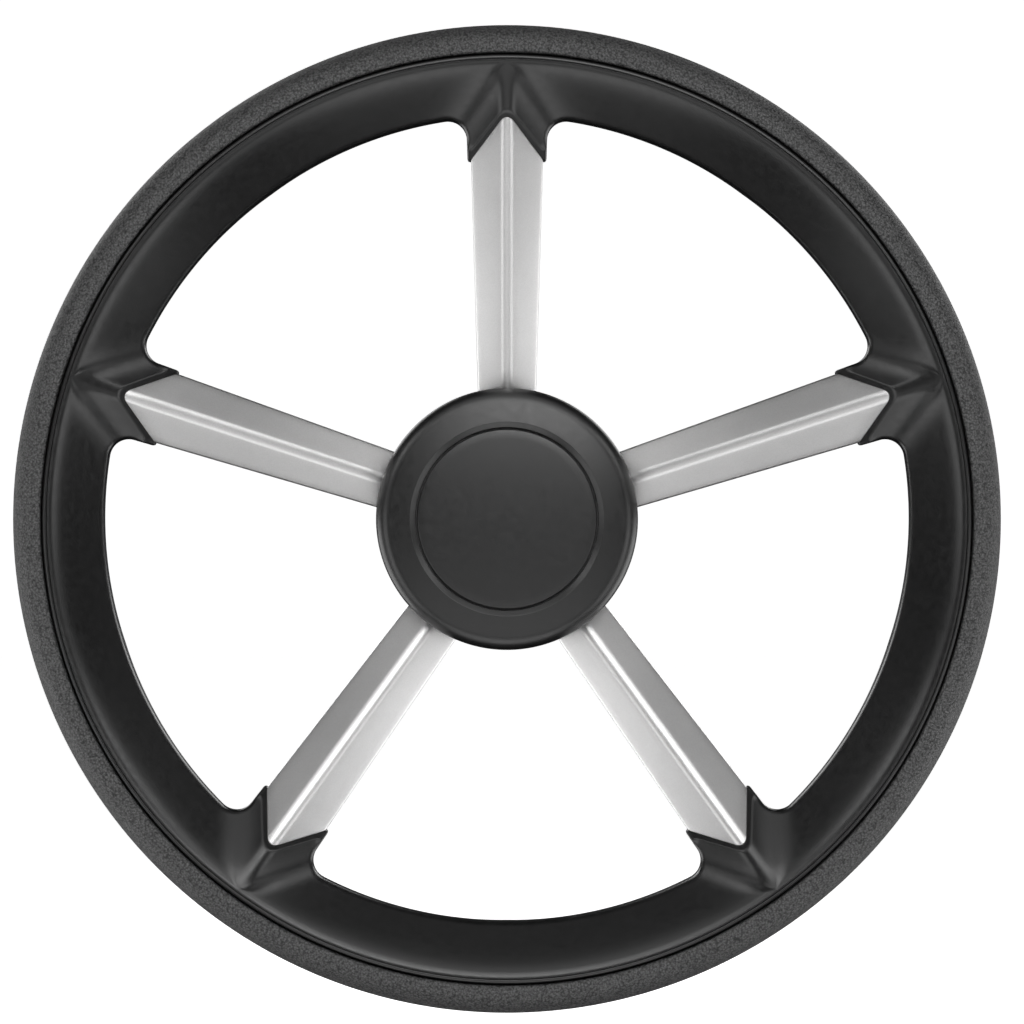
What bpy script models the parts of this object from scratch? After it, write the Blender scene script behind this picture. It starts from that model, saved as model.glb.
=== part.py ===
# Boat steering wheel: five silver spokes, a black rim with a textured grip, and a pull-off centre cap.
# It is drawn lying on its back, with z running from the helm towards the helmsman and z = 0 on the
# hub's seat. One empty then stands it up, so that it faces -Y with one spoke straight up.

import math

import bmesh
import bpy
from mathutils import Matrix

SPOKE_COUNT = 5
GAP = 0.0003                  # clearance between neighbouring pieces

# Rim, measured along the radius or along the shaft
RIM_DIAMETER = 0.350
RIM_WIDTH = 0.0318            # outer edge to inner edge
RIM_DEPTH = 0.030             # front crest to back
RIM_FRONT = 0.090             # front crest above the hub's seat
GRIP_WIDTH = 0.0110           # textured band, seen from the front
GRIP_CROWN_INSET = 0.0088     # outer edge to the middle of the band's round section
GRIP_SINK = 0.0008            # band's crown below the rim's crest
GROOVE_WIDTH = 0.0007         # open groove between band and shell
RIB_DEPTH = 0.0023            # inward rib that locks the band between the shells
RIB_HEIGHT = 0.0030
BEAD_WIDTH = 0.0016           # bead along the shell's outer edge
BEAD_DROP = 0.0004
CREST_ROUND = 0.0050
INNER_ROUND = 0.0035
BAND_SLOPE = 45.0             # degrees, the smooth band inside the crest
BACK_CREST_INSET = 0.0150     # outer edge to where the back starts to slope
BACK_ROUND = 0.0080
BACK_INNER_ROUND = 0.0025
BACK_SLOPE = 25.0             # degrees
EDGE_BREAK = 0.0008           # broken edge along the windows
WINDOW_FILLET = 0.0068        # window corners beside a spoke root

# Spokes, seen from the front, and their roof section
SPOKE_WIDTH_HUB = 0.0213      # at the hub's edge
SPOKE_WIDTH_RIM = 0.0269      # at the rim's inner edge
SPOKE_CREST_HUB = 0.054       # spoke crest above the seat, at the hub's edge
SPOKE_DEPTH = 0.017           # crest to back
ROOF_SLOPE = 38.7             # degrees, each flank
ROOF_CREST_HALF = 0.0027      # half the width of the rounded crest
COVER_WALL = 0.0018
COVER_SKIRT = 0.0022          # upright edge below each flank
COVER_EDGE = 0.0006           # broken edge between flank and skirt
COVER_TUCK = 0.0040           # length of spoke hidden inside the hub
V_ANGLE = 50.7                # degrees, each arm of the V joint to the cross direction
V_APEX_INSET = 0.0008         # apex of the V inside the rim's inner edge
ROOT_LIP = 0.0011             # how far a spoke root stands proud of the silver
ROOT_LENGTH = 0.0158          # rim's inner edge to the tips of a root
ROOT_BLEND = 0.0080           # soft valley between a root and the ring
ROOT_BLEND_RUN = 0.0140       # distance over which that valley grows from the crest
BACK_WALL = 0.0018
BACK_CORNER = 0.0045
SPOKE_SCREW_PLACE = 0.040     # screw in the spoke's back, from the rim's inner edge

# Cast armature
ARM_DROP = 0.0055             # arm's top below the spoke crest
ARM_HEIGHT = 0.0070
ARM_WIDTH_HUB = 0.0100
ARM_WIDTH_RIM = 0.0080
CORE_INSET = 0.0215           # rim's outer edge to the middle of the ring core
CORE_WIDTH = 0.0070
CORE_DEPTH = 0.0060
CORE_ROOM = 0.0010            # spare room outside the ring core
DRUM_RADIUS = 0.030
DRUM_DROP = 0.0040            # drum's front face below the spoke crest
DRUM_REAR = 0.018             # drum's rear face above the seat
NUT_POCKET_RADIUS = 0.018

# Hub covers
HUB_RADIUS = 0.0470
HUB_STAND = 0.0108            # bezel's front above the spoke crest
HUB_SPLIT_DROP = 0.0060       # joint between the two covers below the spoke crest
HUB_WALL = 0.0025
HUB_ROUND = 0.0060
HUB_FACE_TILT = 9.5           # degrees, fall of the bezel's face towards its outer edge
NOTCH_GAP = 0.0004
BEZEL_BEVEL = 0.0018          # bevel round the cap
CAP_RADIUS = 0.0321
CAP_MARGIN = 0.0008           # open ring round the cap
CAP_SINK = 0.0012             # cap's edge below the bezel's front
CAP_CROWN = 0.0010
CAP_THICKNESS = 0.0022
CAP_EDGE = 0.0005
CAP_LEDGE = 0.0007            # width of the ledge that carries the cap
CAP_SKIRT_LENGTH = 0.0052
CAP_SKIRT_WALL = 0.0022
RING_DROP = 0.0036            # low side of the skirt's groove below the cap's back
RING_THICKNESS = 0.0014       # rubber ring in that groove
WELL_WALL = 0.0016
FLANGE_THICKNESS = 0.0027
FLANGE_BORE = 0.0195
HUB_SCREW_CIRCLE = 0.0242     # radius
REAR_COVER_LIFT = 0.0020      # rear cover's end above the seat
REAR_COVER_RADIUS = 0.0305    # at its end
REAR_COVER_FLOOR = 0.0030
BELL_SHOULDER = 0.0262        # height that pulls the rear cover's curve out to its full width
BELL_WAIST = 0.0238           # height that pulls it in to the width at its end

# Hub insert, with the usual 1 in 12 taper for a three-quarter inch shaft
TAPER_BORE = 0.01905          # diameter at the seat
TAPER_RATIO = 12.0
INSERT_LENGTH = 0.038
INSERT_RADIUS = 0.0150
INSERT_FLANGE_RADIUS = 0.0205
INSERT_FLANGE_THICKNESS = 0.0055
KEYWAY_WIDTH = 0.00476
KEYWAY_DEPTH = 0.0024
WASHER_RADIUS = 0.0130
WASHER_THICKNESS = 0.0025
THREAD_DIAMETER = 0.0127
NUT_ACROSS_FLATS = 0.01905
NUT_HEIGHT = 0.0110

# Screws
SPOKE_SCREW = {"head": 0.0032, "head_height": 0.0020, "shank": 0.0015}
HUB_SCREW = {"head": 0.0036, "head_height": 0.0024, "shank": 0.0020}
SCREW_SEAT = 0.0018           # thickness left under a sunk head
SCREW_BOSS_WALL = 0.0019
SCREW_POST_WALL = 0.0012      # round the screw, inside the cover
HUB_SCREW_BITE = 0.010        # thread in the rear cover

# Fineness of the round pieces, in steps to the full turn
RIM_STEPS = 60
HUB_STEPS = 32
SMALL_STEPS = 20
SCREW_STEPS = 8

# Fineness of the curves in a section, in steps to the curve
OVAL_STEPS = 6
BELL_STEPS = 5
EDGE_STEPS = 4
WINDOW_STEPS = 3
FILLET_STEPS = 3

# Where the rim shells and the cap are given points, as shares of the way
FRONT_STATIONS = (0.4, 0.8, 0.95)
BACK_STATIONS = (0.5, 0.9)
ROOT_STATIONS = (0.55, 0.17, 0.0)
CAP_STATIONS = (0.0, 0.35, 0.7)
ROOT_FAN = 0.95               # share of its angle that a root's side keeps at the rim's crest
SHARP_EDGE = 35.0             # degrees

# Sizes that follow from those above
RIM_RADIUS = RIM_DIAMETER / 2
RIM_INNER = RIM_RADIUS - RIM_WIDTH
RIM_BACK = RIM_FRONT - RIM_DEPTH
GRIP_INNER = RIM_RADIUS - GRIP_WIDTH
SHELL_RADIUS = GRIP_INNER - GROOVE_WIDTH
CREST_RADIUS = SHELL_RADIUS - BEAD_WIDTH
BACK_CREST_RADIUS = RIM_RADIUS - BACK_CREST_INSET
CORE_RADIUS = RIM_RADIUS - CORE_INSET
ROOT_TIP = RIM_INNER - ROOT_LENGTH
V_APEX = RIM_INNER - V_APEX_INSET
ROOF = math.radians(ROOF_SLOPE)
ROOF_ROUND = ROOF_CREST_HALF / math.sin(ROOF)
DISH_RISE = RIM_FRONT - ROOT_LIP - SPOKE_CREST_HUB
DISH = math.atan(DISH_RISE / (CREST_RADIUS - HUB_RADIUS))
CREST_AT_AXIS = SPOKE_CREST_HUB - HUB_RADIUS * math.tan(DISH)
ARM_BOTTOM = ARM_DROP + ARM_HEIGHT
DRUM_FRONT = SPOKE_CREST_HUB - DRUM_DROP
HUB_FRONT = SPOKE_CREST_HUB + HUB_STAND
HUB_SPLIT = SPOKE_CREST_HUB - HUB_SPLIT_DROP
FLANGE_FRONT = DRUM_FRONT + GAP + FLANGE_THICKNESS
CAP_EDGE_Z = HUB_FRONT - CAP_SINK
CAP_BACK = CAP_EDGE_Z - CAP_THICKNESS
WELL_RADIUS = CAP_RADIUS - CAP_LEDGE
RECESS_RADIUS = CAP_RADIUS + CAP_MARGIN
SHAFT_HOLE = THREAD_DIAMETER / 2 + GAP


def remove_startup_objects():
    for item in list(bpy.data.objects):
        bpy.data.objects.remove(item, do_unlink=True)


def make_collection(name):
    collection = bpy.data.collections.new(name)
    bpy.context.scene.collection.children.link(collection)
    return collection


def make_material(name, colour, roughness, metallic):
    material = bpy.data.materials.new(name)
    material.use_nodes = True
    shader = material.node_tree.nodes["Principled BSDF"]
    shader.inputs["Base Color"].default_value = (*colour, 1.0)
    shader.inputs["Roughness"].default_value = roughness
    shader.inputs["Metallic"].default_value = metallic
    material.diffuse_color = (*colour, 1.0)
    return material


remove_startup_objects()
PARTS = make_collection("boat_steering_wheel")
CUTTERS = make_collection("cutters")
BLACK_MOULDING = make_material("black_moulding", (0.018, 0.018, 0.019), 0.42, 0.0)
SOFT_GRIP = make_material("soft_grip", (0.030, 0.030, 0.031), 0.75, 0.0)
SILVER_PAINT = make_material("silver_paint", (0.62, 0.63, 0.64), 0.34, 1.0)
HUB_PLASTIC = make_material("hub_plastic", (0.022, 0.022, 0.023), 0.38, 0.0)
CAST_ALUMINIUM = make_material("cast_aluminium", (0.50, 0.50, 0.50), 0.50, 1.0)
STEEL = make_material("steel", (0.55, 0.55, 0.56), 0.30, 1.0)
RUBBER = make_material("rubber", (0.015, 0.015, 0.015), 0.80, 0.0)


def make_empty(name, parent=None):
    empty = bpy.data.objects.new(name, None)
    empty.empty_display_size = 0.02
    empty.parent = parent
    PARTS.objects.link(empty)
    return empty


def place(name, mesh, material, parent):
    item = bpy.data.objects.new(name, mesh)
    mesh.shade_smooth()
    mesh.set_sharp_from_angle(angle=math.radians(SHARP_EDGE))
    if not mesh.materials:
        mesh.materials.append(material)
    item.parent = parent
    PARTS.objects.link(item)
    return item


def place_cutter(name, mesh, parent):
    item = bpy.data.objects.new(name, mesh)
    item.parent = parent
    item.hide_render = True
    item.display_type = "WIRE"
    CUTTERS.objects.link(item)
    return item


def combine(target, other, operation):
    step = target.modifiers.new(operation.lower() + "_" + other.name, "BOOLEAN")
    step.operation = operation
    step.solver = "EXACT"
    step.object = other


def finished_mesh(item):
    # The mesh that an object's modifiers leave, ready to be shared. The object itself goes.
    scene_state = bpy.context.evaluated_depsgraph_get()
    mesh = bpy.data.meshes.new_from_object(item.evaluated_get(scene_state))
    bpy.data.objects.remove(item, do_unlink=True)
    return mesh


def worked_mesh(body, steps):
    # The body after joining or cutting it with each mesh in turn.
    item = place_cutter("body", body, None)
    tools = [place_cutter(mesh.name, mesh, None) for mesh, _ in steps]
    for tool, (_, operation) in zip(tools, steps):
        combine(item, tool, operation)
    mesh = finished_mesh(item)
    for tool in tools:
        bpy.data.objects.remove(tool, do_unlink=True)
    return mesh


def mesh_from(build, name):
    # Fills a bmesh with the given function and returns it as a mesh facing outwards.
    work = bmesh.new()
    build(work)
    bmesh.ops.recalc_face_normals(work, faces=work.faces)
    mesh = bpy.data.meshes.new(name)
    work.to_mesh(mesh)
    work.free()
    return mesh


def outline_mesh(name, outline):
    # A wire in the xz plane, for turning round z. It is closed unless both ends lie on the axis.
    mesh = bpy.data.meshes.new(name)
    corners = [(r, 0.0, z) for r, z in outline]
    edges = [(i, i + 1) for i in range(len(corners) - 1)]
    if outline[0][0] > 0.0 or outline[-1][0] > 0.0:
        edges.append((len(corners) - 1, 0))
    mesh.from_pydata(corners, edges, [])
    return mesh


def turn(item, steps):
    spin = item.modifiers.new("turn", "SCREW")
    spin.axis = "Z"
    spin.angle = 2 * math.pi
    spin.steps = steps
    spin.render_steps = steps
    spin.use_merge_vertices = True
    spin.merge_threshold = 0.00001
    spin.use_smooth_shade = True
    return item


def turned_mesh(name, outline, steps):
    return finished_mesh(turn(place_cutter(name, outline_mesh(name, outline), None), steps))


def lofted_mesh(name, first, second):
    # Joins two like outlines, given as (x, y, z) points, and closes both ends.
    def build(work):
        rows = [[work.verts.new(point) for point in row] for row in (first, second)]
        count = len(first)
        for i in range(count):
            j = (i + 1) % count
            work.faces.new((rows[0][i], rows[0][j], rows[1][j], rows[1][i]))
        work.faces.new(rows[0])
        work.faces.new(list(reversed(rows[1])))
    return mesh_from(build, name)


def cylinder_mesh(name, radius, bottom, top, x=0.0, y=0.0, sides=SCREW_STEPS):
    # Turned by half a side, so that no corner falls on a seam of what it cuts.
    middle = Matrix.Translation((x, y, (top + bottom) / 2)) @ Matrix.Rotation(math.pi / sides, 4, "Z")

    def build(work):
        bmesh.ops.create_cone(work, cap_ends=True, segments=sides, radius1=radius, radius2=radius,
                              depth=top - bottom, matrix=middle)
    return mesh_from(build, name)


def arc(centre, radius, start, end, steps):
    # Points on an arc in a flat outline, from start to end in degrees.
    points = []
    for i in range(steps + 1):
        angle = math.radians(start + (end - start) * i / steps)
        points.append((centre[0] + radius * math.cos(angle), centre[1] + radius * math.sin(angle)))
    return points


def bezier(first, first_handle, last_handle, last, steps):
    points = []
    for i in range(steps + 1):
        t = i / steps
        weights = ((1 - t) ** 3, 3 * t * (1 - t) ** 2, 3 * t * t * (1 - t), t ** 3)
        corners = (first, first_handle, last_handle, last)
        points.append(tuple(sum(w * c[k] for w, c in zip(weights, corners)) for k in range(2)))
    return points


# Rim shells: a turned section that blends into the five spoke roots


def spoke_half(u):
    # Half the silver's width at radius u, seen from the front.
    share = (u - HUB_RADIUS) / (RIM_INNER - HUB_RADIUS)
    return (SPOKE_WIDTH_HUB + (SPOKE_WIDTH_RIM - SPOKE_WIDTH_HUB) * share) / 2


def root_half(u):
    return spoke_half(u) + ROOT_LIP


def slope_fall(r, crest, crest_round, slope, inner_round):
    # Fall of the ring's face from its crest: a rounded crest, a straight slope, a rounded inner edge.
    tilt = math.radians(slope)
    slope_top = crest - crest_round * math.sin(tilt)
    slope_end = RIM_INNER + inner_round * (1 - math.sin(tilt))
    if r >= crest:
        return 0.0
    if r >= slope_top:
        return crest_round - math.sqrt(crest_round ** 2 - (crest - r) ** 2)
    fall = crest_round * (1 - math.cos(tilt)) + (slope_top - max(r, slope_end)) * math.tan(tilt)
    if r < slope_end:
        reach = min(RIM_INNER + inner_round - r, inner_round)
        fall += inner_round * math.cos(tilt) - math.sqrt(inner_round ** 2 - reach ** 2)
    return fall


def ring_front(r):
    return RIM_FRONT - slope_fall(r, CREST_RADIUS, CREST_ROUND, BAND_SLOPE, INNER_ROUND)


def ring_back(r):
    return RIM_BACK + slope_fall(r, BACK_CREST_RADIUS, BACK_ROUND, BACK_SLOPE, BACK_INNER_ROUND)


JOINT_Z = (ring_front(RIM_INNER) + ring_back(RIM_INNER)) / 2


def roof(y, inset=0.0):
    # Height of the spoke's roof below its crest line, on the surface the given wall below the outside.
    y = abs(y)
    radius = ROOF_ROUND - inset
    if y < radius * math.sin(ROOF):
        return math.sqrt(radius ** 2 - y ** 2) - ROOF_ROUND
    return (ROOF_ROUND - inset) / math.cos(ROOF) - ROOF_ROUND - y * math.tan(ROOF)


def root_front(u, v):
    rise = CREST_AT_AXIS + u * math.tan(DISH) + (roof(v) + ROOT_LIP) / math.cos(DISH)
    return min(rise, RIM_FRONT)


def root_back(u, v):
    flat = root_half(u) - BACK_CORNER
    reach = min(max(abs(v) - flat, 0.0), BACK_CORNER)
    lift = BACK_CORNER - math.sqrt(BACK_CORNER ** 2 - reach ** 2)
    return CREST_AT_AXIS + u * math.tan(DISH) - (SPOKE_DEPTH - lift) / math.cos(DISH)


def smooth_max(a, b, blend):
    if blend <= 0:
        return max(a, b)
    overlap = max(blend - abs(a - b), 0.0)
    return max(a, b) + overlap ** 2 / (4 * blend)


def valley_blend(r):
    return ROOT_BLEND * min(max((CREST_RADIUS - r) / ROOT_BLEND_RUN, 0.0), 1.0)


def shell_front(u, v):
    r = math.hypot(u, v)
    top = smooth_max(ring_front(r), root_front(u, v), valley_blend(r))
    return max(min(top, RIM_FRONT), JOINT_Z + EDGE_BREAK + GAP)


def shell_back(u, v):
    r = math.hypot(u, v)
    bottom = -smooth_max(-ring_back(r), -root_back(u, v), valley_blend(r))
    return min(max(bottom, RIM_BACK), JOINT_Z - EDGE_BREAK - GAP)


def half_sector():
    # The shells' inner edge from mid-window to the middle of a root, as (u, v, angle on the outer wall).
    taper = (SPOKE_WIDTH_RIM - SPOKE_WIDTH_HUB) / 2 / (RIM_INNER - HUB_RADIUS)
    stretch = math.hypot(1.0, taper)
    offset = root_half(0.0) + WINDOW_FILLET * stretch
    reach = RIM_INNER - WINDOW_FILLET
    centre_u = (math.sqrt(stretch ** 2 * reach ** 2 - offset ** 2) - taper * offset) / stretch ** 2
    centre_v = offset + taper * centre_u
    start = math.atan2(centre_v, centre_u)
    end = math.atan2(-1.0, taper)
    middle = math.pi / SPOKE_COUNT
    points = []
    for i in range(WINDOW_STEPS + 1):
        angle = middle + (start - middle) * i / WINDOW_STEPS
        points.append((RIM_INNER * math.cos(angle), RIM_INNER * math.sin(angle), angle))
    side = math.asin(root_half(centre_u) / SHELL_RADIUS)
    for i in range(1, FILLET_STEPS + 1):
        angle = start + (end - start) * i / FILLET_STEPS
        u = centre_u + WINDOW_FILLET * math.cos(angle)
        v = centre_v + WINDOW_FILLET * math.sin(angle)
        points.append((u, v, start + (side - start) * i / FILLET_STEPS))
    points.append((ROOT_TIP, root_half(ROOT_TIP), side * ROOT_FAN))
    for share in ROOT_STATIONS:
        v = root_half(ROOT_TIP) * share
        points.append((ROOT_TIP, v, math.asin(v / SHELL_RADIUS)))
    return points


def shell_columns():
    half = half_sector()
    return half[:-1] + [(u, -v, -angle) for u, v, angle in reversed(half)][:-1]


def share_at_radius(start, end, radius):
    # How far along a straight column, from start to end, the given radius lies.
    run = (end[0] - start[0], end[1] - start[1])
    a = run[0] ** 2 + run[1] ** 2
    b = start[0] * run[0] + start[1] * run[1]
    c = start[0] ** 2 + start[1] ** 2 - radius ** 2
    return (-b - math.sqrt(b * b - a * c)) / a


def rim_shell_mesh(name, outer_wall, crest_radii, slope_shares, height, joint, channel=()):
    # Lofts one section per column round the wheel: outer wall, crest, slope, and the face at the joint
    # with its channel. Every spoke sector has the same columns, turned to its own angle.
    step_out = EDGE_BREAK if joint < height(CREST_RADIUS, 0.0) else -EDGE_BREAK

    def section(u, v, angle):
        points = [(radius * math.cos(angle), radius * math.sin(angle), z) for radius, z in outer_wall]
        for radius in crest_radii:
            spot = (radius * math.cos(angle), radius * math.sin(angle))
            points.append((*spot, height(*spot)))
        start = points[-1]

        def on_slope(share):
            return (start[0] + (u - start[0]) * share, start[1] + (v - start[1]) * share)

        for share in slope_shares:
            points.append((*on_slope(share), height(*on_slope(share))))
        points.append((u, v, height(u, v) - step_out))
        points.append((u, v, joint))
        for radius, z in channel:
            points.append((*on_slope(share_at_radius(start, (u, v), radius)), z))
        return points

    def build(work):
        rows = []
        for k in range(SPOKE_COUNT):
            turn_angle = math.pi / 2 + 2 * math.pi * k / SPOKE_COUNT
            c, s = math.cos(turn_angle), math.sin(turn_angle)
            for column in reversed(shell_columns()):
                points = section(*column)
                rows.append([work.verts.new((x * c - y * s, x * s + y * c, z)) for x, y, z in points])
        count = len(rows[0])
        for i in range(len(rows)):
            near, far = rows[i], rows[(i + 1) % len(rows)]
            for j in range(count):
                k = (j + 1) % count
                work.faces.new((near[j], near[k], far[k], far[j]))
    return mesh_from(build, name)


def rim_front_mesh():
    joint = JOINT_Z + GAP / 2
    rebate = SHELL_RADIUS - RIB_DEPTH
    bead = SHELL_RADIUS - BEAD_WIDTH / 2
    wall = [(rebate, joint), (rebate, joint + RIB_HEIGHT + GAP), (SHELL_RADIUS, joint + RIB_HEIGHT + GAP),
            (SHELL_RADIUS, RIM_FRONT - 3 * BEAD_DROP), (bead, RIM_FRONT - BEAD_DROP),
            (CREST_RADIUS + BEAD_DROP, RIM_FRONT - 2 * BEAD_DROP)]
    crest = [CREST_RADIUS - CREST_ROUND * math.sin(math.radians(BAND_SLOPE) * i / 2) for i in range(3)]
    inner = CORE_RADIUS - CORE_WIDTH / 2 - GAP
    outer = CORE_RADIUS + CORE_WIDTH / 2 + CORE_ROOM
    roof_z = JOINT_Z + CORE_DEPTH + 2 * GAP
    channel = [(inner, joint), (inner, roof_z), (outer, roof_z), (outer, joint)]
    return rim_shell_mesh("rim_front_shell", wall, crest, FRONT_STATIONS, shell_front, joint, channel)


def rim_back_mesh():
    joint = JOINT_Z - GAP / 2
    wall = [(SHELL_RADIUS, joint), (SHELL_RADIUS, RIM_BACK + 2 * BEAD_DROP)]
    crest = [SHELL_RADIUS - 2 * BEAD_DROP]
    crest += [BACK_CREST_RADIUS - BACK_ROUND * math.sin(math.radians(BACK_SLOPE) * i) for i in range(2)]
    return rim_shell_mesh("rim_rear_shell", wall, crest, BACK_STATIONS, shell_back, joint)


def grip_mesh():
    # A soft band round the outside, oval in section, with a rib that the two shells trap.
    middle = (RIM_FRONT + RIM_BACK) / 2
    half_depth = RIM_DEPTH / 2 - GRIP_SINK
    crown = RIM_RADIUS - GRIP_CROWN_INSET
    lean = math.degrees(math.acos((GRIP_INNER - crown) / GRIP_CROWN_INSET))
    oval = []
    for r, z in arc((0.0, 0.0), 1.0, lean, -lean, OVAL_STEPS):
        oval.append((crown + r * GRIP_CROWN_INSET, middle + z * half_depth))
    rib_bottom = JOINT_Z + GAP
    rib_top = rib_bottom + RIB_HEIGHT - GAP
    rib_inner = SHELL_RADIUS - RIB_DEPTH + 2 * GAP
    rib = [(GRIP_INNER, rib_bottom), (rib_inner, rib_bottom), (rib_inner, rib_top), (GRIP_INNER, rib_top)]
    return turned_mesh("grip_ring", oval + rib, RIM_STEPS)


# Spokes, drawn in a frame whose x runs out along the crest line and whose z stands square to it


def along(u, z=0.0):
    # Distance along the crest line of the point at radius u and height z over the line.
    return (u + z * math.sin(DISH)) / math.cos(DISH)


def roof_points(half, inset, arc_steps):
    radius = ROOF_ROUND - inset
    crest = [radius * math.sin(ROOF * (1 - 2 * i / arc_steps)) for i in range(arc_steps + 1)]
    return [(y, roof(y, inset)) for y in [half] + crest + [-half]]


def cover_section(x, u):
    half = spoke_half(u)
    bottom = roof(half) - COVER_SKIRT
    outer = roof_points(half - COVER_EDGE, 0.0, EDGE_STEPS)
    shoulder = roof(half - COVER_EDGE) - COVER_EDGE
    outer = [(half, bottom), (half, shoulder)] + outer + [(-half, shoulder), (-half, bottom)]
    inner = roof_points(half - COVER_WALL, COVER_WALL, 2)
    inner = [(half - COVER_WALL, bottom)] + inner + [(COVER_WALL - half, bottom)]
    return [(x, y, z) for y, z in outer + inner[::-1]]


def back_section(x, u):
    half = spoke_half(u) - COVER_WALL - GAP
    top = roof(half, COVER_WALL) - 2 * GAP
    inner_half = half - BACK_WALL
    inner_corner = BACK_CORNER - BACK_WALL
    floor = -SPOKE_DEPTH + BACK_CORNER
    outer = [(half, top)] + arc((half - BACK_CORNER, floor), BACK_CORNER, 0, -90, 2)
    inner = [(inner_half, top)] + arc((inner_half - inner_corner, floor), inner_corner, 0, -90, 1)
    outer += [(-y, z) for y, z in reversed(outer)]
    inner += [(-y, z) for y, z in reversed(inner)]
    return [(x, y, z) for y, z in outer + inner[::-1]]


def spoke_envelope(name, from_u, to_u, grow):
    # The spoke's whole outside, for notching the hub covers.
    def section(u):
        half = spoke_half(u) + grow
        floor = -SPOKE_DEPTH - grow
        outline = [(half, floor)] + roof_points(half, -grow, EDGE_STEPS) + [(-half, floor)]
        return [(along(u), y, z) for y, z in outline]
    return lofted_mesh(name, section(from_u), section(to_u))


def arm_mesh(name, grow, from_u, to_u, floor=ARM_BOTTOM):
    def section(u):
        share = (u - HUB_RADIUS) / (RIM_INNER - HUB_RADIUS)
        half = (ARM_WIDTH_HUB + (ARM_WIDTH_RIM - ARM_WIDTH_HUB) * share) / 2 + grow
        top = -ARM_DROP + grow
        bottom = -floor - grow
        return [(along(u), y, z) for y, z in ((half, top), (half, bottom), (-half, bottom), (-half, top))]
    return lofted_mesh(name, section(from_u), section(to_u))


def v_joint_mesh(name, keep_silver):
    # A block on one side of the slanting plane where silver and black meet. It takes away the black
    # over the plane, or the silver under it.
    lean = math.atan(math.cos(DISH) / (math.tan(math.radians(V_ANGLE)) / math.tan(ROOF) + math.sin(DISH)))
    reach = RIM_WIDTH + ROOT_LENGTH
    half = SPOKE_WIDTH_RIM
    apex = along(V_APEX)
    run = (math.cos(lean), math.sin(lean))
    rise = (-math.sin(lean), math.cos(lean))
    if keep_silver:
        low, high = -reach, GAP
    else:
        low, high = 0.0, reach
    corners = []
    for a, b in ((-reach, low), (reach, low), (reach, high), (-reach, high)):
        corners.append((apex + a * run[0] + b * rise[0], a * run[1] + b * rise[1]))
    return lofted_mesh(name, [(x, -half, z) for x, z in corners], [(x, half, z) for x, z in corners])


def screw_station():
    return along(RIM_INNER - SPOKE_SCREW_PLACE)


def cover_mesh():
    start = along(HUB_RADIUS - COVER_TUCK)
    end = along(RIM_INNER + COVER_TUCK)
    body = lofted_mesh("cover_body", cover_section(start, HUB_RADIUS - COVER_TUCK),
                       cover_section(end, RIM_INNER + COVER_TUCK))
    pilot = SPOKE_SCREW["shank"] + GAP
    x = screw_station()
    return worked_mesh(body, [
        (cylinder_mesh("post", pilot + SCREW_POST_WALL, -ARM_DROP + GAP, -COVER_WALL + GAP, x), "UNION"),
        (cylinder_mesh("pilot", pilot, -ARM_BOTTOM, -COVER_WALL - GAP, x), "DIFFERENCE"),
        (v_joint_mesh("v_joint", True), "DIFFERENCE")])


def sunk_seat():
    return -ARM_BOTTOM - GAP - SCREW_SEAT


def back_mesh():
    start_u = HUB_RADIUS - COVER_TUCK
    end = along(ROOT_TIP, -SPOKE_DEPTH) - GAP
    body = lofted_mesh("back_body", back_section(along(start_u), start_u), back_section(end, ROOT_TIP))
    x = screw_station()
    head = SPOKE_SCREW["head"] + GAP
    below = -SPOKE_DEPTH - BACK_WALL
    boss_low = -SPOKE_DEPTH + BACK_WALL / 2
    return worked_mesh(body, [
        (cylinder_mesh("boss", head + SCREW_BOSS_WALL, boss_low, -ARM_BOTTOM - GAP, x), "UNION"),
        (cylinder_mesh("sink", head, below, sunk_seat(), x), "DIFFERENCE"),
        (cylinder_mesh("hole", SPOKE_SCREW["shank"] + GAP, below, 0.0, x), "DIFFERENCE")])


def screw_mesh(name, size, length):
    # Head above z = 0, shank below it.
    outline = [(0.0, size["head_height"]), (size["head"], size["head_height"]), (size["head"], 0.0),
               (size["shank"], 0.0), (size["shank"], -length), (0.0, -length)]
    return turned_mesh(name, outline, SCREW_STEPS)


# Hub


def bezel_mesh():
    # The face slopes from the bevel's top and runs smoothly into the rounded edge.
    tilt = math.radians(HUB_FACE_TILT)
    bevel_top = RECESS_RADIUS + BEZEL_BEVEL
    round_r = HUB_RADIUS - HUB_ROUND
    fall = math.tan(tilt) * (round_r + HUB_ROUND * math.sin(tilt) - bevel_top)
    round_z = HUB_FRONT - fall - HUB_ROUND * math.cos(tilt)
    well_outer = RECESS_RADIUS + WELL_WALL
    inner = HUB_RADIUS - HUB_WALL
    under = HUB_FRONT - HUB_WALL - fall
    inner_round = HUB_ROUND - HUB_WALL
    outline = [(bevel_top, HUB_FRONT)]
    outline += arc((round_r, round_z), HUB_ROUND, 90 - HUB_FACE_TILT, 0, EDGE_STEPS)
    outline += [(HUB_RADIUS, HUB_SPLIT), (inner, HUB_SPLIT)]
    outline += arc((inner - inner_round, under - inner_round), inner_round, 0, 90, 1)
    outline += [(well_outer, under), (well_outer, DRUM_FRONT + GAP), (FLANGE_BORE, DRUM_FRONT + GAP),
                (FLANGE_BORE, FLANGE_FRONT), (WELL_RADIUS, FLANGE_FRONT), (WELL_RADIUS, CAP_BACK - GAP),
                (RECESS_RADIUS, CAP_BACK - GAP), (RECESS_RADIUS, CAP_EDGE_Z)]
    return turned_mesh("hub_bezel", outline, HUB_STEPS)


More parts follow.
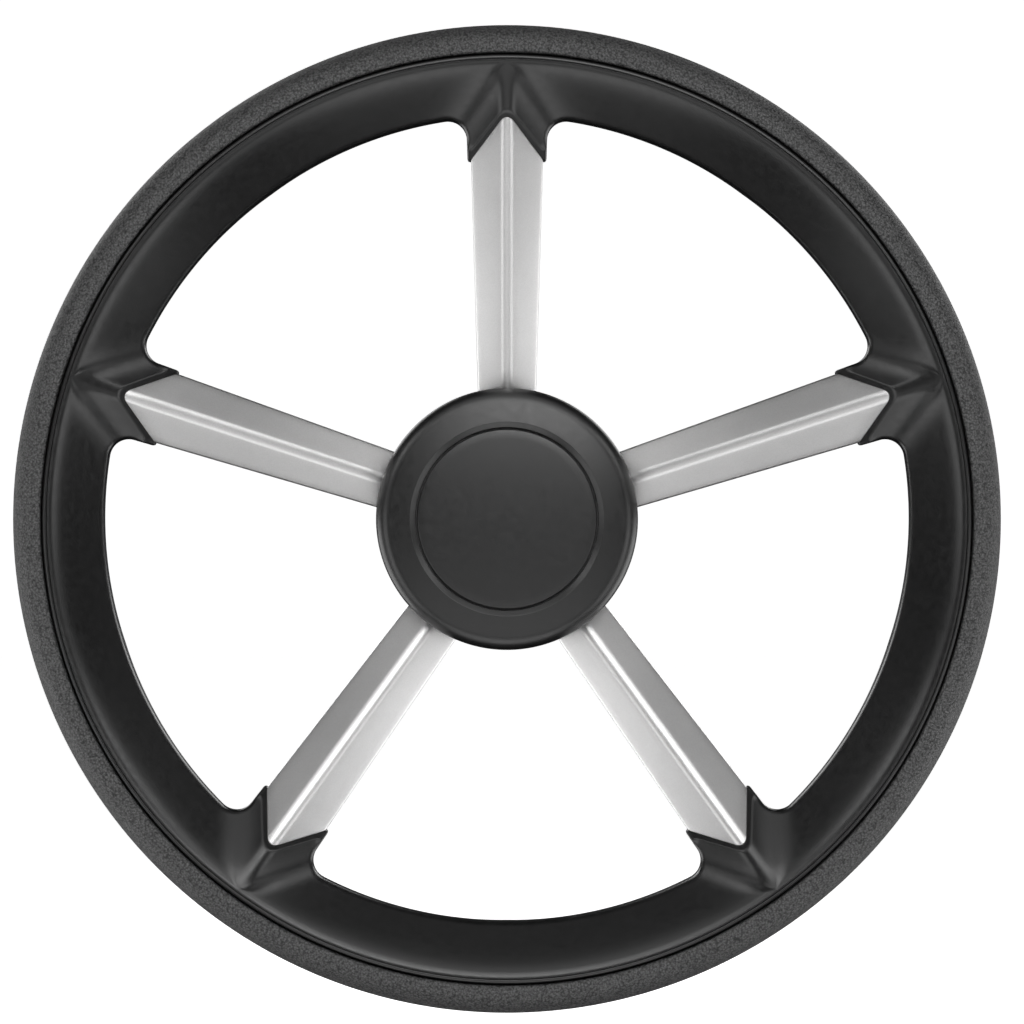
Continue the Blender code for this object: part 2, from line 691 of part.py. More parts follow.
def rear_cover_mesh():
    top = HUB_SPLIT - GAP
    end = REAR_COVER_LIFT
    inner = HUB_RADIUS - HUB_WALL
    boss_top = DRUM_REAR - GAP
    bell = bezier((HUB_RADIUS, top), (HUB_RADIUS, BELL_SHOULDER), (REAR_COVER_RADIUS, BELL_WAIST),
                  (REAR_COVER_RADIUS, end + EDGE_BREAK), BELL_STEPS)
    lift = 2 * HUB_WALL
    inside = bezier((REAR_COVER_RADIUS, boss_top), (REAR_COVER_RADIUS + HUB_WALL, BELL_WAIST + lift),
                    (inner, BELL_SHOULDER + lift), (inner, top), BELL_STEPS - 1)
    hole = INSERT_RADIUS + GAP
    flange = INSERT_FLANGE_RADIUS + GAP
    outline = bell + [(REAR_COVER_RADIUS - EDGE_BREAK, end), (hole, end), (hole, end + REAR_COVER_FLOOR),
                      (flange, end + REAR_COVER_FLOOR), (flange, boss_top)] + inside
    return turned_mesh("hub_rear_cover", outline, HUB_STEPS)


def cap_mesh():
    skirt = WELL_RADIUS - GAP - CAP_EDGE
    groove = WELL_RADIUS - RING_THICKNESS - 2 * GAP
    groove_low = CAP_BACK - RING_DROP
    groove_high = groove_low + RING_THICKNESS + 2 * GAP
    bottom = CAP_BACK - CAP_SKIRT_LENGTH
    inner = groove - CAP_SKIRT_WALL
    crown_radius = (CAP_RADIUS ** 2 + CAP_CROWN ** 2) / (2 * CAP_CROWN)
    top = []
    for share in CAP_STATIONS:
        r = (CAP_RADIUS - CAP_EDGE) * share
        top.append((r, CAP_EDGE_Z + CAP_CROWN - crown_radius + math.sqrt(crown_radius ** 2 - r ** 2)))
    outline = top + [(CAP_RADIUS - CAP_EDGE, CAP_EDGE_Z), (CAP_RADIUS, CAP_EDGE_Z - CAP_EDGE),
                     (CAP_RADIUS, CAP_BACK), (skirt, CAP_BACK), (skirt, groove_high), (groove, groove_high),
                     (groove, groove_low), (skirt, groove_low), (skirt, bottom), (inner, bottom),
                     (inner, CAP_BACK), (0.0, CAP_BACK)]
    return turned_mesh("centre_cap", outline, HUB_STEPS)


def ring_mesh():
    # It stands out of its groove, so that it grips the wall of the bezel's well.
    low = CAP_BACK - RING_DROP + GAP
    radius = RING_THICKNESS / 2
    section = arc((WELL_RADIUS - GAP - radius, low + radius), radius, 90, -210, 5)
    return turned_mesh("cap_rubber_ring", section, HUB_STEPS)


def insert_mesh():
    bore = TAPER_BORE / 2
    bore_front = bore - INSERT_LENGTH / TAPER_RATIO / 2
    flange_top = DRUM_REAR - GAP
    flange_low = flange_top - INSERT_FLANGE_THICKNESS
    outline = [(bore_front, INSERT_LENGTH), (INSERT_RADIUS, INSERT_LENGTH), (INSERT_RADIUS, flange_top),
               (INSERT_FLANGE_RADIUS, flange_top), (INSERT_FLANGE_RADIUS, flange_low),
               (INSERT_RADIUS, flange_low), (INSERT_RADIUS, 0.0), (bore, 0.0)]
    return turned_mesh("hub_insert", outline, SMALL_STEPS)


def keyway_mesh():
    depth = TAPER_BORE / 2 + KEYWAY_DEPTH

    def build(work):
        made = bmesh.ops.create_cube(work, size=1.0)
        bmesh.ops.scale(work, verts=made["verts"], vec=(KEYWAY_WIDTH, depth, 2 * INSERT_LENGTH))
        bmesh.ops.translate(work, verts=made["verts"], vec=(0.0, depth / 2, INSERT_LENGTH / 2))
    return mesh_from(build, "keyway")


def washer_mesh():
    low = INSERT_LENGTH + GAP
    high = low + WASHER_THICKNESS
    outline = [(SHAFT_HOLE, high), (WASHER_RADIUS, high), (WASHER_RADIUS, low), (SHAFT_HOLE, low)]
    return turned_mesh("nut_washer", outline, SMALL_STEPS)


def drum_mesh():
    hole = INSERT_RADIUS + GAP
    outline = [(NUT_POCKET_RADIUS, DRUM_FRONT), (DRUM_RADIUS, DRUM_FRONT), (DRUM_RADIUS, DRUM_REAR),
               (hole, DRUM_REAR), (hole, INSERT_LENGTH), (NUT_POCKET_RADIUS, INSERT_LENGTH)]
    return turned_mesh("armature", outline, HUB_STEPS)


def core_mesh():
    low = JOINT_Z + GAP
    high = low + CORE_DEPTH
    inner = CORE_RADIUS - CORE_WIDTH / 2
    outer = CORE_RADIUS + CORE_WIDTH / 2
    outline = [(inner, high), (outer, high), (outer, low), (inner, low)]
    return turned_mesh("ring_core", outline, RIM_STEPS)


def build_wheel():
    stand = make_empty("wheel_frame")
    stand.rotation_euler = (math.pi / 2, 0.0, 0.0)
    spokes = []
    for k in range(SPOKE_COUNT):
        frame = make_empty(f"spoke_frame_{k + 1}", stand)
        frame.location = (0.0, 0.0, CREST_AT_AXIS)
        frame.rotation_euler = (0.0, -DISH, math.pi / 2 + 2 * math.pi * k / SPOKE_COUNT)
        spokes.append(frame)
    build_rim(stand, spokes)
    build_armature(stand, spokes)
    build_spokes(spokes)
    build_hub(stand, spokes)


def build_rim(stand, spokes):
    front = place("rim_front_shell", rim_front_mesh(), BLACK_MOULDING, stand)
    back = place("rim_rear_shell", rim_back_mesh(), BLACK_MOULDING, stand)
    place("grip_ring", grip_mesh(), SOFT_GRIP, stand)
    # The front shell's slots are open to the rear, so that the armature can be laid into it.
    slot_start = ROOT_TIP - ROOT_LENGTH
    slot_end = CORE_RADIUS + GAP
    front_slot = arm_mesh("front_slot", GAP, slot_start, slot_end, RIM_DEPTH)
    back_slot = arm_mesh("back_slot", GAP, slot_start, slot_end)
    plane = v_joint_mesh("v_plane", False)
    for k, frame in enumerate(spokes, 1):
        joint = place_cutter(f"v_plane_{k}", plane, frame)
        for shell, slot in ((front, front_slot), (back, back_slot)):
            combine(shell, place_cutter(f"{slot.name}_{k}", slot, frame), "DIFFERENCE")
            combine(shell, joint, "DIFFERENCE")


def build_armature(stand, spokes):
    armature = place("armature", drum_mesh(), CAST_ALUMINIUM, stand)
    core = place_cutter("ring_core", core_mesh(), stand)
    combine(armature, core, "UNION")
    arm = arm_mesh("arm", 0.0, (DRUM_RADIUS + NUT_POCKET_RADIUS) / 2, CORE_RADIUS)
    hole = cylinder_mesh("arm_hole", SPOKE_SCREW["shank"] + GAP, -SPOKE_DEPTH, 0.0, screw_station())
    for k, frame in enumerate(spokes, 1):
        combine(armature, place_cutter(f"arm_{k}", arm, frame), "UNION")
        combine(armature, place_cutter(f"arm_hole_{k}", hole, frame), "DIFFERENCE")
    for k, (x, y) in enumerate(hub_screw_places(), 1):
        hole = cylinder_mesh("drum_hole", HUB_SCREW["shank"] + GAP, DRUM_REAR - GAP, DRUM_FRONT + GAP, x, y)
        combine(armature, place_cutter(f"drum_hole_{k}", hole, stand), "DIFFERENCE")


def build_spokes(spokes):
    cover = cover_mesh()
    back = back_mesh()
    shank = -sunk_seat() - COVER_WALL - 2 * GAP - SPOKE_SCREW["shank"]
    screw = screw_mesh("spoke_screw", SPOKE_SCREW, shank)
    for k, frame in enumerate(spokes, 1):
        place(f"spoke_cover_{k}", cover, SILVER_PAINT, frame)
        place(f"spoke_back_{k}", back, BLACK_MOULDING, frame)
        item = place(f"spoke_screw_{k}", screw, STEEL, frame)
        item.location = (screw_station(), 0.0, sunk_seat() - GAP / 2)
        item.rotation_euler = (math.pi, 0.0, 0.0)


def hub_screw_places():
    # Between the spokes, so that the screws pass clear of the arms.
    angles = [math.pi / 2 + math.pi * (2 * k + 1) / SPOKE_COUNT for k in range(SPOKE_COUNT)]
    return [(HUB_SCREW_CIRCLE * math.cos(a), HUB_SCREW_CIRCLE * math.sin(a)) for a in angles]


def build_hub(stand, spokes):
    bezel = place("hub_bezel", bezel_mesh(), HUB_PLASTIC, stand)
    rear = place("hub_rear_cover", rear_cover_mesh(), HUB_PLASTIC, stand)
    notch = spoke_envelope("spoke_notch", DRUM_RADIUS, HUB_RADIUS + COVER_TUCK, NOTCH_GAP)
    for k, frame in enumerate(spokes, 1):
        cutter = place_cutter(f"spoke_notch_{k}", notch, frame)
        combine(bezel, cutter, "DIFFERENCE")
        combine(rear, cutter, "DIFFERENCE")
    seat = FLANGE_FRONT + GAP / 2
    end = DRUM_REAR - GAP - HUB_SCREW_BITE
    screw = screw_mesh("hub_screw", HUB_SCREW, seat - end)
    for k, (x, y) in enumerate(hub_screw_places(), 1):
        item = place(f"hub_screw_{k}", screw, STEEL, stand)
        item.location = (x, y, seat)
        hole = cylinder_mesh("hub_hole", HUB_SCREW["shank"] + GAP, end - GAP, FLANGE_FRONT + GAP, x, y)
        cutter = place_cutter(f"hub_hole_{k}", hole, stand)
        combine(bezel, cutter, "DIFFERENCE")
        combine(rear, cutter, "DIFFERENCE")
    insert = place("hub_insert", insert_mesh(), STEEL, stand)
    combine(insert, place_cutter("keyway", keyway_mesh(), stand), "DIFFERENCE")
    place("nut_washer", washer_mesh(), STEEL, stand)
    nut_low = INSERT_LENGTH + WASHER_THICKNESS + 2 * GAP
    corner = NUT_ACROSS_FLATS / 2 / math.cos(math.pi / 6)
    nut_body = cylinder_mesh("shaft_nut", corner, nut_low, nut_low + NUT_HEIGHT, sides=6)
    nut = place("shaft_nut", nut_body, STEEL, stand)
    bore = cylinder_mesh("nut_bore", THREAD_DIAMETER / 2, 0.0, HUB_FRONT, sides=SMALL_STEPS)
    combine(nut, place_cutter("nut_bore", bore, stand), "DIFFERENCE")
    place("centre_cap", cap_mesh(), HUB_PLASTIC, stand)
    place("cap_rubber_ring", ring_mesh(), RUBBER, stand)


build_wheel()
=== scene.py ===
import math

import bmesh
import bpy
import numpy as np
from mathutils import Matrix, Vector


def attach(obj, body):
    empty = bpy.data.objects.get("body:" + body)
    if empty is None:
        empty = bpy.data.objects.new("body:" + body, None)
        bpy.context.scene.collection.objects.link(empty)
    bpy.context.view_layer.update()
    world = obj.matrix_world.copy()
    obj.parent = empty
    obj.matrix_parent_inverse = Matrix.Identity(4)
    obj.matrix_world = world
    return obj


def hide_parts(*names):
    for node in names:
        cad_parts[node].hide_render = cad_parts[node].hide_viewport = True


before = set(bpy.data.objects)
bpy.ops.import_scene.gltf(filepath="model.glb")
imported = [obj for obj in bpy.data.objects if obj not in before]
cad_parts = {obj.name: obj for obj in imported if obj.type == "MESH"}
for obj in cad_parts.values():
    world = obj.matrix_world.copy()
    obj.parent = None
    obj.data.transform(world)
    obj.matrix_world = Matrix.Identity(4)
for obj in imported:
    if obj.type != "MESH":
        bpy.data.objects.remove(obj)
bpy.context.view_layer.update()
print("frame loaded:", len(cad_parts), "nodes")

# All sizes are in metres. The wheel is drawn lying on its back, z towards the helmsman,
# and then stood up so that it faces -Y with one spoke straight up.
standUp = Matrix.Rotation(math.pi / 2, 4, "X")
spokeCount = 5
clearance = 0.0003

rim = {
    "diameter": 0.350, "width": 0.0318, "depth": 0.030, "front": 0.090, "shellRadius": 0.1633,
    "bead": 0.0017, "beadDrop": 0.00025, "beadRound": 0.0011, "creaseWidth": 0.00040, "creaseDepth": 0.00022,
    "beadWall": 0.0040, "rebate": 0.0023, "rebateHeight": 0.0033, "crestRound": 0.0034, "bandSlope": 46.7,
    "edgeRound": 0.0013, "tipRound": 0.0005, "tipCorner": 0.0009, "windowFillet": 0.0068,
    "jointDrop": 0.01964, "floorBlend": 0.0008, "backCrest": 0.160, "backRound": 0.00174, "backSlope": 27.0,
    "backWall": 0.0030, "backEdge": 0.0012, "backFlat": 0.0016,
}
spoke = {
    "widthHub": 0.0213, "widthRim": 0.0269, "crestHub": 0.054, "hubRadius": 0.047, "depth": 0.017,
    "roofSlope": 38.7, "crestHalf": 0.0025, "wall": 0.0018, "skirt": 0.0022, "edgeRound": 0.0017,
    "tuck": 0.0040, "vAngle": 50.7, "vApexInset": 0.0008, "vGap": 0.00035, "vEdge": 0.00030, "vRound": 0.0005,
    "lip": 0.0011, "rootLength": 0.0158, "rootBlend": 0.0052, "blendStart": 0.0018, "rootSteep": 0.025,
    "rootFan": 0.72, "backWall": 0.0018, "backCorner": 0.0045, "screwInset": 0.040, "jointDip": 0.0015,
}
# the light-alloy casting inside, which the other pieces leave room for
core = {"radius": 0.1535, "width": 0.0070, "depth": 0.0060, "room": 0.0010,
        "armHub": 0.0100, "armRim": 0.0080, "armTop": 0.0055, "armBottom": 0.0125}

rimRadius = rim["diameter"] / 2
rimInner = rimRadius - rim["width"]
rimFront = rim["front"]
rimBack = rimFront - rim["depth"]
crestRadius = rim["shellRadius"] - rim["bead"]
jointZ = rimFront - rim["jointDrop"]
rootTip = rimInner - spoke["rootLength"]
roofTilt = math.radians(spoke["roofSlope"])
roofRound = spoke["crestHalf"] / math.sin(roofTilt)
dish = math.atan((rimFront - spoke["lip"] - spoke["crestHub"]) / (crestRadius - spoke["hubRadius"]))
crestAtAxis = spoke["crestHub"] - spoke["hubRadius"] * math.tan(dish)
vLean = math.atan(math.cos(dish) / (math.tan(math.radians(spoke["vAngle"])) / math.tan(roofTilt)
                                    + math.sin(dish)))
spokeAngles = [math.pi / 2 + 2 * math.pi * k / spokeCount for k in range(spokeCount)]


# Mesh helpers

def newObject(name, mesh):
    item = bpy.data.objects.new(name, mesh)
    bpy.context.scene.collection.objects.link(item)
    return item


def bakedMesh(item):
    # the mesh that the modifiers leave; the object itself goes
    state = bpy.context.evaluated_depsgraph_get()
    mesh = bpy.data.meshes.new_from_object(item.evaluated_get(state))
    bpy.data.objects.remove(item, do_unlink=True)
    return mesh


def faceOut(mesh):
    work = bmesh.new()
    work.from_mesh(mesh)
    bmesh.ops.remove_doubles(work, verts=work.verts, dist=1e-6)
    bmesh.ops.recalc_face_normals(work, faces=work.faces)
    work.to_mesh(mesh)
    work.free()
    return mesh


def gridMesh(name, rows, capEnds=False):
    # rows of points, each a closed loop; the rows themselves close unless their ends are capped
    count, width = len(rows), len(rows[0])
    points = np.asarray(rows, float).reshape(-1, 3)
    faces = []
    for i in range(count - 1 if capEnds else count):
        near, far = i * width, ((i + 1) % count) * width
        for j in range(width):
            k = (j + 1) % width
            faces.append((near + j, near + k, far + k, far + j))
    if capEnds:
        faces.append(tuple(range(width)))
        faces.append(tuple((count - 1) * width + j for j in reversed(range(width))))
    mesh = bpy.data.meshes.new(name)
    mesh.from_pydata(points.tolist(), [], faces)
    return faceOut(mesh)


def turned(name, outline, steps):
    # an outline in the xz plane turned round z, open where both ends lie on the axis
    mesh = bpy.data.meshes.new(name)
    edges = [(i, i + 1) for i in range(len(outline) - 1)]
    if outline[0][0] > 0 or outline[-1][0] > 0:
        edges.append((len(outline) - 1, 0))
    mesh.from_pydata([(r, 0.0, z) for r, z in outline], edges, [])
    item = newObject(name, mesh)
    spin = item.modifiers.new("turn", "SCREW")
    spin.axis = "Z"
    spin.angle = 2 * math.pi
    spin.steps = spin.render_steps = steps
    spin.use_merge_vertices = True
    spin.merge_threshold = 0.00001
    return faceOut(bakedMesh(item))


def arcPoints(centre, radius, start, end, steps):
    angles = np.radians(np.linspace(start, end, steps + 1))
    return [(centre[0] + radius * math.cos(a), centre[1] + radius * math.sin(a)) for a in angles]


def curvePoints(first, firstHandle, lastHandle, last, steps):
    t = np.linspace(0, 1, steps + 1)[:, None]
    corners = [np.array(p) for p in (first, firstHandle, lastHandle, last)]
    weights = ((1 - t) ** 3, 3 * t * (1 - t) ** 2, 3 * t * t * (1 - t), t ** 3)
    return [tuple(p) for p in sum(w * c for w, c in zip(weights, corners))]


def roundedCorner(before, corner, after, radius, steps=4):
    # a corner of an outline, eased to the given radius
    p, q, r = (np.array(x, float) for x in (before, corner, after))
    a, b = (p - q) / np.linalg.norm(p - q), (r - q) / np.linalg.norm(r - q)
    half = math.acos(max(-1.0, min(1.0, float(a @ b)))) / 2
    reach = radius / math.tan(half)
    return [tuple(q + a * reach * (1 - t) ** 2 + b * reach * t ** 2) for t in np.linspace(0, 1, steps + 1)]


def cutWith(mesh, tools, operation="DIFFERENCE"):
    item = newObject("body", mesh)
    helpers = []
    for tool, place in tools:
        helper = newObject("tool", tool)
        helper.matrix_world = place
        step = item.modifiers.new("cut", "BOOLEAN")
        step.operation = operation
        step.solver = "EXACT"
        step.object = helper
        helpers.append(helper)
    bpy.context.view_layer.update()
    result = bakedMesh(item)
    for helper in helpers:
        bpy.data.objects.remove(helper, do_unlink=True)
    return result


def spokePlace(k):
    # from a spoke's own frame, x out along its crest and z square to it, to the wheel's
    return (Matrix.Rotation(spokeAngles[k], 4, "Z") @ Matrix.Translation((0, 0, crestAtAxis))
            @ Matrix.Rotation(-dish, 4, "Y"))


def along(u, z=0.0):
    # distance along a spoke's crest of what lies at radius u
    return (u + z * math.sin(dish)) / math.cos(dish)


def radiusAt(x):
    return x * math.cos(dish)


def finishPiece(name, mesh, material, body, nodes, sharp=40.0):
    mesh.transform(standUp)
    mesh.materials.clear()
    mesh.materials.append(material)
    mesh.shade_smooth()
    mesh.set_sharp_from_angle(angle=math.radians(sharp))
    item = newObject(name, mesh)
    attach(item, body)
    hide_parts(*nodes)
    return item


def numbered(stem):
    return [f"{stem}_{k + 1}" for k in range(spokeCount)]


# Geometry Nodes: copies of a piece round the wheel's axis

def newTree(name, inputs):
    # an empty tree that takes a mesh, the given inputs and a finish, and the inputs' identifiers by label
    tree = bpy.data.node_groups.new(name, "GeometryNodeTree")
    sockets = {}
    for label, kind in {"Geometry": "Geometry", **inputs, "Finish": "Material"}.items():
        made = tree.interface.new_socket(label, in_out="INPUT", socket_type="NodeSocket" + kind)
        sockets[label] = made.identifier
    tree.interface.new_socket("Geometry", in_out="OUTPUT", socket_type="NodeSocketGeometry")
    return tree, sockets


def roundTheAxisTree():
    tree, sockets = newTree("roundTheAxis", {"Copies": "Int", "Start angle": "Float"})
    add, link = tree.nodes.new, tree.links.new
    entry, leave = add("NodeGroupInput"), add("NodeGroupOutput")
    points, index = add("GeometryNodePoints"), add("GeometryNodeInputIndex")
    share, turn, sweep = (add("ShaderNodeMath") for _ in range(3))
    share.operation, turn.operation, sweep.operation = "DIVIDE", "MULTIPLY", "ADD"
    turn.inputs[1].default_value = 2 * math.pi
    facing = add("ShaderNodeCombineXYZ")
    copies, real = add("GeometryNodeInstanceOnPoints"), add("GeometryNodeRealizeInstances")
    paint = add("GeometryNodeSetMaterial")
    link(entry.outputs["Copies"], points.inputs["Count"])
    link(index.outputs[0], share.inputs[0])
    link(entry.outputs["Copies"], share.inputs[1])
    link(share.outputs[0], turn.inputs[0])
    link(turn.outputs[0], sweep.inputs[0])
    link(entry.outputs["Start angle"], sweep.inputs[1])
    link(sweep.outputs[0], facing.inputs["Z"])
    link(points.outputs[0], copies.inputs["Points"])
    link(entry.outputs["Geometry"], copies.inputs["Instance"])
    link(facing.outputs[0], copies.inputs["Rotation"])
    link(copies.outputs[0], real.inputs[0])
    link(real.outputs[0], paint.inputs["Geometry"])
    link(entry.outputs["Finish"], paint.inputs["Material"])
    link(paint.outputs[0], leave.inputs[0])
    return tree, sockets


# Geometry Nodes: a section swept round the rim, x outwards from the path and z forwards

def sweptBandTree():
    tree, sockets = newTree("sweptBand", {"Path radius": "Float", "Steps": "Int"})
    add, link = tree.nodes.new, tree.links.new
    entry, leave = add("NodeGroupInput"), add("NodeGroupOutput")
    path, section = add("GeometryNodeCurvePrimitiveCircle"), add("GeometryNodeMeshToCurve")
    sweep, paint = add("GeometryNodeCurveToMesh"), add("GeometryNodeSetMaterial")
    real = add("GeometryNodeRealizeInstances")
    link(entry.outputs["Path radius"], path.inputs["Radius"])
    link(entry.outputs["Steps"], path.inputs["Resolution"])
    link(entry.outputs["Geometry"], section.inputs["Mesh"])
    link(path.outputs["Curve"], sweep.inputs["Curve"])
    link(section.outputs["Curve"], sweep.inputs["Profile Curve"])
    link(sweep.outputs[0], real.inputs[0])
    link(real.outputs[0], paint.inputs["Geometry"])
    link(entry.outputs["Finish"], paint.inputs["Material"])
    link(paint.outputs[0], leave.inputs[0])
    return tree, sockets


def grownMesh(name, mesh, treeAndSockets, values):
    tree, sockets = treeAndSockets
    item = newObject(name, mesh)
    grow = item.modifiers.new("grow", "NODES")
    grow.node_group = tree
    for label, value in values.items():
        grow[sockets[label]] = value
    return bakedMesh(item)


axisTree = roundTheAxisTree()
bandTree = sweptBandTree()
print("node trees ready")


# Materials

class Nodes:
    # shorthand for one material's node tree
    def __init__(self, name):
        self.material = bpy.data.materials.new(name)
        self.material.use_nodes = True
        self.tree = self.material.node_tree
        self.shader = self.tree.nodes["Principled BSDF"]
        self.place = self.add("ShaderNodeTexCoord").outputs["Object"]

    def add(self, kind, **values):
        node = self.tree.nodes.new(kind)
        for key, value in values.items():
            if hasattr(node, key):
                setattr(node, key, value)
            else:
                node.inputs[key].default_value = value
        return node

    def link(self, source, target):
        self.tree.links.new(source, target)

    def noise(self, scale, detail=2.0, roughness=0.5):
        node = self.add("ShaderNodeTexNoise", Scale=scale, Detail=detail, Roughness=roughness)
        self.link(self.place, node.inputs["Vector"])
        return node.outputs["Fac"]

    def cells(self, scale):
        node = self.add("ShaderNodeTexVoronoi", Scale=scale)
        self.link(self.place, node.inputs["Vector"])
        return node

    def between(self, source, low, high, fromLow=0.3, fromHigh=0.7):
        node = self.add("ShaderNodeMapRange")
        for i, value in ((1, fromLow), (2, fromHigh), (3, low), (4, high)):
            node.inputs[i].default_value = value
        self.link(source, node.inputs[0])
        return node.outputs[0]

    def maths(self, operation, first, second):
        node = self.add("ShaderNodeMath", operation=operation)
        for i, source in enumerate((first, second)):
            if isinstance(source, (int, float)):
                node.inputs[i].default_value = source
            else:
                self.link(source, node.inputs[i])
        return node.outputs[0]

    def tint(self, source, dark, light):
        node = self.add("ShaderNodeMix", data_type="RGBA")
        node.inputs[6].default_value = (*dark, 1)
        node.inputs[7].default_value = (*light, 1)
        self.link(source, node.inputs[0])
        return node.outputs[2]

    def bump(self, height, distance, strength=1.0, under=None):
        node = self.add("ShaderNodeBump", Distance=distance, Strength=strength)
        self.link(height, node.inputs["Height"])
        if under is not None:
            self.link(under, node.inputs["Normal"])
        return node.outputs["Normal"]

    def set(self, **values):
        for key, value in values.items():
            self.shader.inputs[key.replace("_", " ")].default_value = value

    def drive(self, source, target):
        self.link(source, self.shader.inputs[target])


def satinBlack(name, colour, roughness, shine, grain):
    # moulded black plastic: faint mottling and a very fine grain
    look = Nodes(name)
    dark = tuple(c * 0.9 for c in colour)
    light = tuple(c * 1.12 for c in colour)
    look.drive(look.tint(look.noise(160.0, 3.0), dark, light), "Base Color")
    mottle = look.between(look.noise(420.0, 4.0), roughness - 0.035, roughness + 0.035)
    look.drive(mottle, "Roughness")
    look.drive(look.bump(look.noise(5200.0, 2.0, 0.6), grain), "Normal")
    look.set(IOR=1.5, Specular_IOR_Level=shine)
    return look.material


def stippledGrip(name):
    # soft grip skin: close-set grains of uneven height, with painted highlight on the grains' tops and painted
    # shade in the hollows between them
    look = Nodes(name)
    grains = look.cells(1150.0).outputs["Distance"]
    rough = look.noise(1750.0, 3.0, 0.65)
    height = look.maths("SUBTRACT", look.maths("MULTIPLY", rough, 1.4), look.maths("MULTIPLY", grains, 0.6))
    # the grains' height paints the colour: painted shade in the hollows, painted highlight on the tops
    paintedGrainShade = look.between(height, 0.0, 1.0, 0.15, 0.75)
    look.drive(look.tint(paintedGrainShade, (0.005, 0.005, 0.005), (0.155, 0.155, 0.156)), "Base Color")
    look.drive(look.between(rough, 0.46, 0.70), "Roughness")
    broad = look.bump(look.noise(700.0, 2.0), 0.00012)
    look.drive(look.bump(height, 0.00030, 1.0, broad), "Normal")
    look.set(IOR=1.5, Specular_IOR_Level=0.8)
    return look.material


def silverCoat(name):
    # satin metallic coat: fine flakes that tilt a little each way, under a thin clear layer
    look = Nodes(name)
    flakes = look.cells(4200.0)
    glint = look.add("ShaderNodeSeparateColor")
    look.link(flakes.outputs["Color"], glint.inputs[0])
    fleck = look.maths("MULTIPLY", glint.outputs[0], 0.55)
    cloud = look.maths("MULTIPLY", look.noise(90.0, 2.0), 0.45)
    tone = look.between(look.maths("ADD", fleck, cloud), 0.0, 1.0, 0.1, 0.9)
    look.drive(look.tint(tone, (0.855, 0.85, 0.848), (0.955, 0.95, 0.947)), "Base Color")
    look.drive(look.between(glint.outputs[1], 0.37, 0.46, 0.0, 1.0), "Roughness")
    look.drive(look.bump(look.noise(3800.0, 1.0), 0.000012), "Normal")
    look.set(Metallic=1.0)
    return look.material


def bareMetal(name, colour, roughness, lines, marks):
    # machined or cast metal: tool marks and a slight stain
    look = Nodes(name)
    dark = tuple(c * 0.82 for c in colour)
    look.drive(look.tint(look.noise(240.0, 4.0), dark, colour), "Base Color")
    look.drive(look.between(look.noise(lines, 2.0), roughness - 0.08, roughness + 0.08), "Roughness")
    look.drive(look.bump(look.noise(lines, 3.0), marks), "Normal")
    look.set(Metallic=1.0)
    return look.material


def plainRubber(name):
    look = Nodes(name)
    look.drive(look.tint(look.noise(900.0, 3.0), (0.010, 0.010, 0.010), (0.020, 0.020, 0.020)), "Base Color")
    look.drive(look.between(look.noise(500.0), 0.7, 0.85), "Roughness")
    look.drive(look.bump(look.noise(1800.0), 0.00004), "Normal")
    return look.material


moulding = satinBlack("satinMoulding", (0.0058, 0.0058, 0.0060), 0.31, 0.90, 0.000008)
hubPlastic = satinBlack("satinHub", (0.0108, 0.0108, 0.0110), 0.34, 0.89, 0.000010)
gripSkin = stippledGrip("stippledGrip")
silver = silverCoat("silverCoat")
steel = bareMetal("machinedSteel", (0.56, 0.56, 0.57), 0.30, 2600.0, 0.00001)
castAlloy = bareMetal("castAlloy", (0.48, 0.48, 0.48), 0.52, 1400.0, 0.00006)
rubber = plainRubber("ringRubber")
print("materials ready")


# Rim: a ring whose band slopes inwards, blended into five ridged spoke roots

def ringFall(r, crest, crestRound, slope):
    # how far the ring falls away inside its crest: rounded there, then ever closer to a straight slope
    reach = math.tan(math.radians(slope)) * np.maximum(crest - r, 0.0)
    return np.sqrt(reach ** 2 + crestRound ** 2) - crestRound


def ringFront(r):
    return rimFront - ringFall(r, crestRadius, rim["crestRound"], rim["bandSlope"])


def ringBack(r):
    return rimBack + ringFall(r, rim["backCrest"], rim["backRound"], rim["backSlope"])


def smoothMin(a, b, blend):
    reach = np.maximum(blend - np.abs(a - b), 0.0)
    return np.minimum(a, b) - reach ** 2 / (4 * np.maximum(blend, 1e-9))


def flared(ringDrop, rootDrop):
    # the root's ridge and the ring in one, with a fillet that widens with the depth under the crest
    least = np.maximum(np.minimum(ringDrop, rootDrop), 1e-7)
    soft = spoke["rootBlend"] * (least / (least + spoke["blendStart"])) ** 2
    return least - soft * np.log1p(np.exp(-np.abs(ringDrop - rootDrop) / soft))


def spokeHalf(u):
    share = (u - spoke["hubRadius"]) / (rimInner - spoke["hubRadius"])
    return (spoke["widthHub"] + (spoke["widthRim"] - spoke["widthHub"]) * share) / 2


def rootHalf(u):
    return spokeHalf(u) + spoke["lip"]


def roofDrop(y, inset=0.0):
    # height of the spoke's roof under its crest line: a rounded crest and two flat flanks
    y = np.abs(y)
    radius = roofRound - inset
    onCrest = np.sqrt(np.maximum(radius ** 2 - y ** 2, 0.0)) - roofRound
    onFlank = radius / math.cos(roofTilt) - roofRound - y * math.tan(roofTilt)
    return np.where(y < radius * math.sin(roofTilt), onCrest, onFlank)


def vPlane(u):
    # the slanting plane where silver and black meet
    apex = (rimInner - spoke["vApexInset"]) / math.cos(dish)
    return crestAtAxis + u * math.tan(dish + vLean) - apex * math.sin(vLean) / math.cos(dish + vLean)


# a root rises a little more than its spoke, and its ridge leaves the ring's crest without a kink
rootRise = math.tan(dish) + spoke["rootSteep"]
rootLift = rim["crestRound"] * (1 - math.sqrt(1 - (rootRise / math.tan(math.radians(rim["bandSlope"]))) ** 2))


